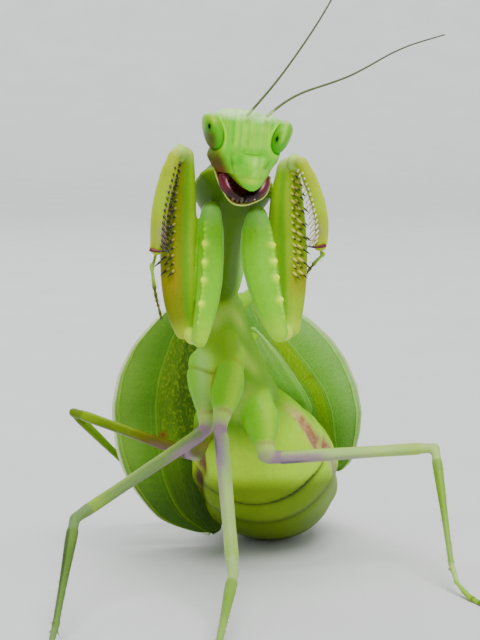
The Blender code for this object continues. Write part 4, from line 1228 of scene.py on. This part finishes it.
def build_upper_lip():
    """Face shield and upper lip."""
    low, high = spread("labrum")
    t = np.linspace(0, 1, 110)[:, None]
    s = np.linspace(-1, 1, 120)[None, :]
    half = blurred(np.interp(t[:, 0], *UPPER_LIP_WIDTHS.T), 3)[:, None]
    x = 0.10 + 0.42 * t + s * half
    z = high[2] + 0.75 - t * (high[2] + 0.75 - low[2] - 0.05) + 0.10 * np.abs(s) ** 2
    y = low[1] + 0.02 + 0.45 * t + 0.85 * np.abs(s) ** 2.2 * half
    y += 0.05 * bell(t - 0.46, 0.035) - 0.12 * bell(t - 0.72, 0.14) * bell(s, 0.7)
    # painted highlight: a pale mint patch at the top middle of the shield
    tint = blend(paint(146, 200, 60), paint(186, 230, 140), 0.6 * bell(t - 0.15, 0.25) * bell(s, 0.5))
    tint = blend(tint, paint(176, 204, 20), 0.75 * bell(t - 0.56, 0.12) * bell(s, 0.45))
    tint = blend(tint, DEEP, 0.15 * bell(t - 0.46, 0.03) + 0.45 * bell(np.abs(s) - 1, 0.10))
    tint = blend(tint, paint(108, 186, 30), 0.6 * step(t, 0.62, 0.9))
    # painted shade: the right side of the shield is painted olive
    tint = blend(tint, paint(96, 104, 4), 0.85 * step(-s, 0.62, 0.95) * step(t, 0.1, 0.4))
    sheet_piece("upper_lip", np.stack([x, y, z], axis=-1), tint,
                shell_material("lip_shell", 0.30, 0.35, 0.2), ["labrum"], 0.22)


def build_lower_lip():
    """The lower lip as a bowl: red inside, a cream rim, and the green underside of the jaw."""
    rim = curve(LOWER_LIP_RIM, RIM_POINTS)
    inside, outside = np.array([0.0, 0.9, -3.4]), np.array([0.0, spread("labium")[1][1], -2.9])
    away, back = unit(rim - inside), np.array([0, 1.0, 0])
    profile, tints = [], []
    red, cream = paint(104, 16, 30), paint(200, 208, 138)
    for share in np.linspace(1.0, 0.0, 26)[:-1]:
        profile.append(rim + (inside - rim) * share + 0.315 * math.sin(share * math.pi * 0.5) * back)
        # painted shade: the red lining is painted darker deeper into the mouth
        tints.append(blend(cream, red * (1 - 0.6 * share), min(1.0, share * 14)))
    for angle in np.linspace(math.pi, 0, 9):
        profile.append(rim + 0.07 * (1 + math.cos(angle)) * away - 0.09 * math.sin(angle) * back)
        tints.append(cream)
    for share in np.linspace(0.0, 1.0, 30)[1:]:
        swell = math.sin(share * math.pi) * 0.55
        profile.append(rim + (0.14 + swell) * away + (outside - rim) * share + 0.4 * swell * back)
        tints.append(blend(cream, LEAF, min(1.0, share * 5)))
    sheet_piece("lower_lip", np.array(profile), np.array(tints)[:, None], lip_material(),
                ["labium"], 0.06)


def build_jaws():
    """Dark red, wet, hard jaws with a toothed cutting edge and a pale line of shine."""
    jaw = plain_material("jaw_gloss", (900.0, 4.0, 0.6, (1.0, 1.0, 4.0)), (0.6, 0.5, 0.5), (0.2, 0.4), 0.5,
                         Coat_Weight=0.15, Coat_Roughness=0.12, Specular_IOR_Level=0.3)
    for side, label in HEAD_SIDES:
        tube = Tube(["mandible_" + label], count=24, sides=24, start=HEAD_AT, trim=(0.2, 0.2), blur=(1, 1),
                    across=HEAD_X)
        rings = tube.grid(140, 110, extend=(0.5, 0.7), cap=(0.8, 1.4), grow=0.12)
        along = rings["along"]
        cutting = off_angle(rings, -side * HEAD_X - 0.3 * HEAD_Z)
        offset = 0.30 * bell(cutting, 0.35) * (0.5 + 0.5 * np.cos(along * 30)) * step(along, 0.35, 0.5)
        offset -= 0.12 * bell(cutting - 1.0, 0.25)
        shine = off_angle(rings, -side * HEAD_X * 0.25 - HEAD_Y + 0.3 * HEAD_Z)
        tint = blend(paint(88, 16, 36), paint(34, 8, 10), step(along, 0.45, 0.8))
        # painted highlight: a pale pink line of shine along each jaw
        tint = blend(tint, paint(236, 190, 206), 0.85 * bell(shine, 0.14) * bell(along - 0.38, 0.2))
        tint = blend(tint, paint(6, 5, 4), 0.95 * bell(cutting, 0.7) * step(along, 0.2, 0.5))
        heap = Heap()
        add_rings(heap, rings, offset, tint)
        add_heap(heap, "jaw_" + label, jaw, ["mandible_" + label])


def build_mouth_lobes():
    """Small moist lobes and the tips of the palps, gathered behind the rim of the lower lip."""
    heap = Heap()
    for x, z, size, tint in MOUTH_LOBES:
        add_ball(heap, head_places((x, -0.64, z)), (size, size * 0.8, size * 1.2), tint,
                 axis=HEAD_Z + 0.3 * HEAD_X)
    add_heap(heap, "mouth_lobes", lip_material())


FEELER_RINGS = 95             # beads along a feeler


def build_antennae():
    """Ringed feelers, thick at the root and tapering to hairs."""
    material = plain_material("feeler_rings", (4000.0, 3.0, 0.6), (0.7, 0.72, 0.6), (0.42, 0.62), 0.3)
    for side, label in HEAD_SIDES:
        name = "antenna_" + label
        start = head_places((side * 0.95, -2.35, 3.45))
        tube = Tube([name], count=60, sides=16, start=start, across=(0.2, 1, 0.1), trim=(0.3, 0.15),
                    blur=(1.5, 2))
        rings = tube.grid(1500, 16, extend=(0.45, 0.1), cap=(0.5, 0.9))
        along = np.clip(rings["along"], 0, 1)
        target = 0.135 - 0.065 * along ** 0.7 + 0.03 * bell(along, 0.015)
        ring = (along * FEELER_RINGS) % 1.0
        beyond_root = step(along, 0.04, 0.06)
        target = target * (1 + 0.10 * np.sin(ring * math.pi) - 0.16 * bell(ring - 1, 0.12) * beyond_root)
        offset = np.where(rings["radii"] < 0.1, 0.0, target - rings["radii"])
        tint = blend(paint(88, 106, 62), paint(78, 84, 62), step(along, 0.0, 0.6))
        tint = blend(tint, paint(196, 224, 170), 0.8 * step(0.035 - along, 0, 0.03))
        tint = blend(tint, paint(48, 52, 34), 0.6 * bell(ring - 1, 0.2) * beyond_root)
        heap = Heap()
        add_rings(heap, rings, offset, tint)
        add_heap(heap, "feeler_" + label, material, [name])


# ---------------------------------------------------------------- spines, claws and bristles
def add_spine(heap, root, way, bend, length, radius, base, tip, dark_from=0.45, sides=8, rows=9):
    """One curved spine that narrows to a dark point."""
    share = np.linspace(0, 1, rows)
    way, bend = unit(way), np.asarray(bend, float)
    middle_line = root + length * (share[:, None] * way + (share ** 2)[:, None] * bend)
    ways = unit(np.gradient(middle_line, axis=0))
    side = unit(np.cross(ways, way + np.array([0.31, 0.17, 0.53])))
    face = np.cross(ways, side)
    angle = 2 * math.pi * np.arange(sides) / sides
    thick = radius * np.maximum((1 - share) ** 0.75, 0.06)
    ring = np.cos(angle)[None, :, None] * side[:, None] + np.sin(angle)[None, :, None] * face[:, None]
    tint = blend(base, tip, step(share, dark_from, dark_from + 0.25)[:, None])
    heap.add(middle_line[:, None] + thick[:, None, None] * ring, tint)


def tube_at(tube, share):
    """Centre, way and mean radius of a tube at a share of its length."""
    place = share * (len(tube.centres) - 1)
    low = min(int(place), len(tube.centres) - 2)
    centre, way, radius = (rows[low] + (rows[low + 1] - rows[low]) * (place - low)
                           for rows in (tube.centres, tube.ways, tube.radii.mean(1)))
    return centre, unit(way), float(radius)


FEMUR_ROWS = (                # lean, count, first and last share of the length, sizes that alternate
    (-0.55, 15, 0.36, 0.93, (1.0, 0.55)),
    (-0.05, 17, 0.37, 0.95, (1.25, 0.7)),
    (0.55, 6, 0.42, 0.82, (1.4, 1.2)),
)
TIBIA_ROWS = (                # lean, count, first and last share of the length, size
    (0.15, 16, 0.12, 0.98, 0.9),
    (-0.75, 14, 0.16, 0.96, 0.7),
)


def build_foreleg_spines(side, limb):
    """The two toothed edges that lock together, and the big hooked claw of the shin."""
    femur, tibia, tarsus = limb[1:]
    outward = OUTWARD[side]
    heap = Heap()
    pale = side == "left"
    ivory = paint(206, 204, 130) if pale else paint(150, 146, 66)
    black, red = paint(20, 12, 6), paint(84, 18, 16)
    milky = paint(226, 222, 190) if pale else paint(120, 100, 90)
    for lean, count, low, high, sizes in FEMUR_ROWS:
        for k in range(count):
            centre, way, radius = tube_at(femur, low + (high - low) * k / (count - 1))
            direction = unit(outward * math.cos(0.6 - lean) + FRONT * math.sin(0.6 - lean))
            size = sizes[k % 2] * float(RNG.uniform(0.9, 1.1))
            root = centre + direction * radius * 0.86
            add_spine(heap, root, direction * 0.8 + 0.55 * outward - 0.55 * way, -0.25 * way - 0.1 * FRONT,
                      1.05 * size, 0.16 + 0.05 * size, ivory, black, 0.4 if pale else 0.2)
    for lean, count, low, high, size in TIBIA_ROWS:
        for k in range(count):
            centre, way, radius = tube_at(tibia, low + (high - low) * k / (count - 1))
            direction = unit(-outward * math.cos(lean) + FRONT * (0.35 + math.sin(-lean)))
            reach = size * (0.6 + 0.7 * k / count) * float(RNG.uniform(0.9, 1.1))
            add_spine(heap, centre + direction * radius * 0.8, direction + 0.7 * way, 0.3 * way,
                      reach, 0.15 if pale else 0.19, milky, black, 0.6 if pale else 0.2)
    centre, way = tube_at(tibia, 1.0)[:2]
    hook = centre + 0.35 * way + 0.75 * outward + 0.72 * FRONT
    add_spine(heap, hook, -1.9 * outward - 0.7 * UP + 0.25 * FRONT, 0.35 * UP - 0.2 * FRONT, 2.5, 0.22,
              red, red * 0.4, 0.3, 14, 22)
    add_claws(heap, tarsus, 0.5, black)
    hairs(heap, tibia, 60, 0.35, paint(206, 206, 170))
    hairs(heap, tarsus, 50, 0.3, paint(190, 190, 150))
    add_heap(heap, "foreleg_spines_" + side, HORN_MATERIAL)


def add_claws(heap, tarsus, size, dark):
    """A pair of small curved claws at the end of a foot."""
    centre, way = tube_at(tarsus, 1.0)[:2]
    flat = unit(np.cross(way, UP))
    for hand in (-1, 1):
        root = centre + 0.2 * way + 0.08 * hand * flat
        root[2] = max(root[2], 0.16)
        drop = min(0.35, 0.6 * (root[2] - 0.05) / size) if root[2] < 3 else 0.35
        add_spine(heap, root, way + 0.55 * hand * flat, -drop * UP, size, 0.10, paint(96, 90, 50), dark,
                  0.3, 8, 10)


def hairs(heap, tube, count, length, colour):
    """Fine short bristles over a limb."""
    for _ in range(count):
        share, angle = RNG.uniform(0.03, 0.99), RNG.uniform(0, 2 * math.pi)
        centre, way, radius = tube_at(tube, share)
        side = unit(np.cross(way, np.array([0.3, 0.2, 0.9])))
        direction = math.cos(angle) * side + math.sin(angle) * np.cross(way, side)
        root = centre + direction * radius * 0.9
        if root[2] < 0.5:
            continue
        add_spine(heap, root, direction + 0.8 * way, 0.3 * way, length * RNG.uniform(0.7, 1.3), 0.022,
                  colour, colour * 0.6, 0.5, 3, 4)


def build_walking_spines(leg, limb):
    """Spurs at the ankle, a short thorn at the knee, foot claws and fine bristles."""
    femur, tibia, tarsus = limb[1:]
    heap = Heap()
    straw, dark = paint(190, 196, 120), paint(60, 34, 20)
    centre, way = tube_at(tibia, 1.0)[:2]
    side = unit(np.cross(way, UP + 0.3 * LEFT))
    for hand in (-1, 1):
        add_spine(heap, centre + 0.35 * way + 0.25 * hand * side, way + 0.45 * hand * side, 0 * way,
                  0.75, 0.12, straw, dark, 0.4, 8, 8)
    centre, way, radius = tube_at(femur, 1.0)
    add_spine(heap, centre + 0.25 * way + radius * 0.8 * UP, way + 0.5 * UP, 0 * way, 0.45, 0.12, straw, dark)
    add_claws(heap, tarsus, 0.75, dark)
    hairs(heap, tibia, 90, 0.34, paint(176, 180, 110))
    hairs(heap, tarsus, 70, 0.26, paint(150, 140, 90))
    hairs(heap, femur, 60, 0.24, paint(196, 206, 140))
    add_heap(heap, "leg_spurs_" + leg, HORN_MATERIAL)


# ---------------------------------------------------------------- wings
WING_RUN_ON = {               # middle and width (shares of length) and reach (mm) of the hidden inner margin
    "tegmen_right": (0.72, 0.22, 3.0),
    "tegmen_left": (0.86, 0.22, 4.2),
    "hindwing_right": (0.5, 0.3, 0.4),
    "hindwing_left": (0.35, 0.3, 0.8),
}
WING_ROUND = 0.09             # share of a wing's length over which its tip rounds off
FOREWING_GRID = (290, 168)    # rows along the wing and places across it
HINDWING_GRID = (200, 110)
PLEATS = 5                    # folds of a hindwing


def wing_grid(name, rows, columns, camber):
    """Middle surface of a wing between its rim and its inner edge, with the way its face looks."""
    coords, edges = solid(name)
    centre = coords.mean(0)
    way, over, face = np.linalg.svd(coords - centre, full_matrices=False)[2]
    way = way * -np.sign(way[2])
    over = over * np.sign(over @ (LEFT if name.endswith("left") else -LEFT))
    face = face * np.sign(face[1])
    span = (coords - centre) @ way
    rim, inner = [], []
    for place in np.linspace(span.min() + 0.25, span.max() - 0.25, 120):
        points = cut(coords, edges, centre + way * place, way)
        reach = points @ over
        rim.append(points[reach > reach.max() - 0.3].mean(0))
        inner.append(points[reach < reach.min() + 0.3].mean(0))
    rim, inner = (resample(blurred(np.array(edge), 2.5), rows) for edge in (rim, inner))
    width = np.linalg.norm(inner - rim, axis=1)[:, None]
    along = np.linspace(0, 1, rows)[:, None]
    where, breadth, reach = WING_RUN_ON[name]
    more = reach * bell(along - where, breadth)
    inner = inner + more * unit(inner - rim - 0.25 * width * FRONT)
    close = 1 - np.sqrt(1 - np.clip((along - 1) / WING_ROUND + 1, 0, 0.995) ** 2)
    rim, inner = rim + 0.6 * close * (inner - rim), inner + 0.4 * close * (rim - inner)
    across = np.linspace(0, 1, columns)
    places = rim[:, None] + (inner - rim)[:, None] * across[None, :, None]
    bow = camber * np.sin(math.pi * across)[None, :] * width
    return places + bow[..., None] * face, np.linalg.norm(inner - rim, axis=1)[:, None], face


def wing_shares(places, face):
    """Shares along and across a wing for each place of its grid, and the way its surface looks there."""
    rows, columns = places.shape[:2]
    u, v = np.meshgrid(np.linspace(0, 1, rows), np.linspace(0, 1, columns), indexing="ij")
    normal = unit(np.cross(np.gradient(places, axis=0), np.gradient(places, axis=1)))
    return u, v, normal * np.sign((normal * face).sum(2, keepdims=True))


FOREWING_TINTS = {            # at the rim, before the main vein, behind it, and along the inner edge
    "right": (paint(138, 172, 104), paint(102, 138, 54), paint(108, 136, 0), paint(70, 94, 0)),
    "left": (paint(184, 218, 158), paint(160, 200, 126), paint(182, 208, 0), paint(160, 202, 132)),
}


def build_tegmen(side):
    """A leathery forewing: white rim, pale front band, raised veins and a granular green field."""
    name = "tegmen_" + side
    places, width, face = wing_grid(name, *FOREWING_GRID, 0.04)
    u, v, normal = wing_shares(places, face)
    height = np.zeros_like(u)
    vein = np.zeros_like(u)
    right = side == "right"
    main = 0.46 if right else 0.50
    fan = [(0.02, 0.30, 0.10), (main - 0.07, 0.05, 0.05), (main, 0.13, 0.10), (main + 0.035, 0.06, 0.05)]
    fan += [(main + 0.12 + 0.09 * k, 0.02, 0.05) for k in range(5)]
    for where, tall, thick in fan:
        line = where + 0.05 * np.sin(u * 2.2 + where * 5)
        gap = (v - line) * width
        height += tall * 0.6 * bell(gap, thick)
        vein = np.maximum(vein, bell(gap, thick * 1.4) * min(0.8, tall * 6))
    for k in range(26):
        line = (u * 30 - k - 1.6 * v) * (width.max() / 30 * 2.2)
        inside = step(v, 0.03, 0.08) * step(main - 0.06 - v, 0, 0.05)
        height += 0.010 * bell(line, 0.10) * inside
        vein = np.maximum(vein, 0.12 * bell(line, 0.12) * inside)
    pale, near, olive, inmost = FOREWING_TINTS[side]
    grain = RNG.random(u.shape)
    for axis in (0, 1):
        grain = blurred(grain, 0.9, axis)
    grain = (grain - 0.5) * 5.4
    tint = blend(pale, near, step(v, 0.0, main))
    tint = blend(tint, olive, step(v, main - 0.03, main + 0.05))
    tint = blend(tint, inmost, step(v, main + 0.14, main + 0.24) * (0.7 if right else 1))
    # painted shade: the lower end of each forewing is painted dark olive, fully on the right wing and lightly
    # on the left
    tint = blend(tint, paint(56, 78, 0), 0.85 * step(u, 0.62, 0.92) * (1 if right else 0.35))
    granular = step(v, main - 0.02, main + 0.06) * (1 - step(v, main + 0.2, main + 0.3) * (not right))
    tint = blend(tint, paint(176, 190, 40), 0.5 * granular * np.clip(grain, 0, 1) * step(0.75 - u, 0, 0.2))
    tint = blend(tint, PALE_LIME, 0.30 * vein)
    tint = blend(tint, paint(236, 244, 216), 0.98 * step(0.034 - 0.014 * u - v, -0.008, 0.008))
    spot = np.hypot((u - (0.60 if right else 0.52)) * 34, (v - main - 0.03) * width)
    height += 0.03 * granular * np.clip(grain, -1, 1)
    tint = blend(tint, paint(126, 62, 22), (0.9 if right else 0.35) * bell(spot, 0.5))
    thick = 0.16 - 0.10 * step(0.05 - v, -0.03, 0.03)
    front = places - normal * (thick + height)[..., None]
    rear = places + normal * (thick + height * 0.6)[..., None]
    add_wing("forewing_" + side, front, rear, tint, WING_MATERIAL, name)


def add_wing(name, front, rear, tint, material, node):
    """Join two faces of a wing into one closed thin body."""
    rows, columns = front.shape[:2]
    around = np.concatenate([front, rear[:, ::-1]], axis=1)
    colours = np.concatenate([tint, tint[:, ::-1]], axis=1)
    heap = Heap()
    heap.add(around, colours, ends=False)
    strip = []
    for row in (0, rows - 1):
        base = row * 2 * columns
        for c in range(columns - 1):
            quad = [base + c, base + c + 1, base + 2 * columns - 2 - c, base + 2 * columns - 1 - c]
            strip.append(quad if row else quad[::-1])
    heap.faces += strip
    add_heap(heap, name, material, [node])


def wing_material(name, cell):
    """Leathery wing: fine cells, grains and a satin sheen."""
    n = Nodes(name)
    grain = n.cells(cell)
    web = n.ramp(n.cells(cell * 0.45, "DISTANCE_TO_EDGE"), 0.0, 0.12, 1.0, 0.0)
    cloud = n.noise(180.0, 5.0)
    colour = n.mix(n.ramp(cloud, 0.35, 0.68, 0.0, 0.8), n.tint(), (0.78, 0.86, 0.6, 1.0), "MULTIPLY")
    colour = n.mix(n.sum(web, 0.28, "MULTIPLY"), colour, (1.35, 1.3, 1.1, 1.0), "MULTIPLY")
    colour = n.mix(n.ramp(grain, 0.1, 0.5, 0.3, 0.0), colour, (0.6, 0.72, 0.4, 1.0), "MULTIPLY")
    height = n.sum(web, n.sum(grain, 0.7, "MULTIPLY"))
    return n.finish(colour, n.ramp(cloud, 0.3, 0.7, 0.38, 0.52), n.bump(height, 0.45, 0.00005),
                    Subsurface_Weight=0.10, Subsurface_Scale=0.0005,
                    Subsurface_Radius=GREEN_DEPTH, Coat_Weight=0.04, Coat_Roughness=0.3,
                    Specular_IOR_Level=0.2)


def build_hindwing(side):
    """A thin pleated hindwing, paler than the forewing."""
    name = "hindwing_" + side
    places, _, face = wing_grid(name, *HINDWING_GRID, 0.03)
    _, v, normal = wing_shares(places, face)
    pleat = 0.012 * np.sin(v * 2 * math.pi * PLEATS)
    vein = bell((v * PLEATS) % 1.0 - 0.25, 0.08)
    tint = blend(paint(184, 220, 146), paint(192, 224, 156), 0.5 + 0.5 * np.sin(v * 31))
    tint = blend(tint, paint(150, 190, 110), 0.18 * vein)
    thick = 0.13 - 0.09 * step(0.06 - np.minimum(v, 1 - v), -0.04, 0.05)
    front = places - normal * (thick - pleat)[..., None]
    rear = places + normal * (thick + pleat)[..., None]
    add_wing("fanwing_" + side, front, rear, tint, HINDWING_MATERIAL, name)


def build_skin():
    """One skin over neck, body, belly and all the limbs; joints hold place, reach and rounds of melting."""
    heap = Heap()
    add_neck(heap)
    breast, hind = add_prothorax(heap), add_hind_body(heap)
    add_link(heap, breast, hind, paint(120, 150, 70), 1.0)
    joints = [((breast.centres[-1] + hind.centres[0]) / 2, 4.2, 220)]
    for side in SIDES:
        add_cercus(heap, "cercus_" + side)
        for wing in ("tegmen_", "hindwing_"):
            add_hinge(heap, wing + side, hind, paint(140, 180, 90))
    limbs = {}
    for side in SIDES:
        coxa = add_fore_coxa(heap, side)
        femur = add_fore_femur(heap, side, coxa)
        tibia = add_fore_tibia(heap, side, femur)
        tarsus = add_tarsus(heap, "fore_tarsus_" + side, tibia.centres[-1])
        add_link(heap, tibia, tarsus, OLIVE, 0.22)
        joints += [(coxa.centres[0], 2.4, 60), (coxa.centres[-1], 1.7, 24), (tibia.centres[0], 2.0, 60)]
        limbs["fore_" + side] = (coxa, femur, tibia, tarsus)
    for leg in WALKING:
        coxa = add_walking_coxa(heap, leg)
        shoulder = add_root(heap, coxa, hind, paint(150, 188, 104))
        femur = add_walking_femur(heap, leg, coxa)
        add_link(heap, coxa, femur, LILAC, 1.0)
        joints += [(coxa.centres[3], *((2.6, 50) if leg.startswith("mid") else (3.2, 150))),
                   (coxa.centres[-1], 1.8, 22), (shoulder, 3.4, 110)]
        tibia = add_walking_tibia(heap, leg, femur)
        knee = add_knee(heap, femur, tibia, LEG_LIT_AND_SHADED[leg])
        tarsus = add_tarsus(heap, leg.replace("_", "_tarsus_"), tibia.centres[-1])
        add_link(heap, tibia, tarsus, LEG_LIT_AND_SHADED[leg])
        joints += [(knee, 1.9, 26), (tarsus.centres[0], 1.4, 12)]
        limbs[leg] = (coxa, femur, tibia, tarsus)
    skin, tints = fused(heap, SKIN_VOXEL, 3, joints)
    nodes = ["neck", "prothorax", "mesothorax", "metathorax", "cercus_left", "cercus_right"] + BELLY_RINGS
    nodes += ["fore_%s_%s" % (part, side) for side in SIDES for part in LIMB_PARTS]
    nodes += [leg.replace("_", "_%s_" % part) for leg in WALKING for part in LIMB_PARTS]
    add_piece("body_skin", skin, shell_material("body_shell"), tints, nodes)
    return limbs


set_camera()
set_floor()
set_lights()
LIMBS = build_skin()
EYE_MATERIAL = eye_material()
HORN_MATERIAL = plain_material("horn", (3000.0, 3.0, 0.6), (0.75, 0.72, 0.66), (0.22, 0.38), 0.25)
WING_MATERIAL = wing_material("wing_leather", 2600.0)
HINDWING_MATERIAL = wing_material("fanwing_film", 3600.0)
build_head()
build_eyes()
build_upper_lip()
build_lower_lip()
build_jaws()
build_mouth_lobes()
build_antennae()
for label in SIDES:
    build_foreleg_spines(label, LIMBS["fore_" + label])
    build_tegmen(label)
    build_hindwing(label)
for label in WALKING:
    build_walking_spines(label, LIMBS[label])
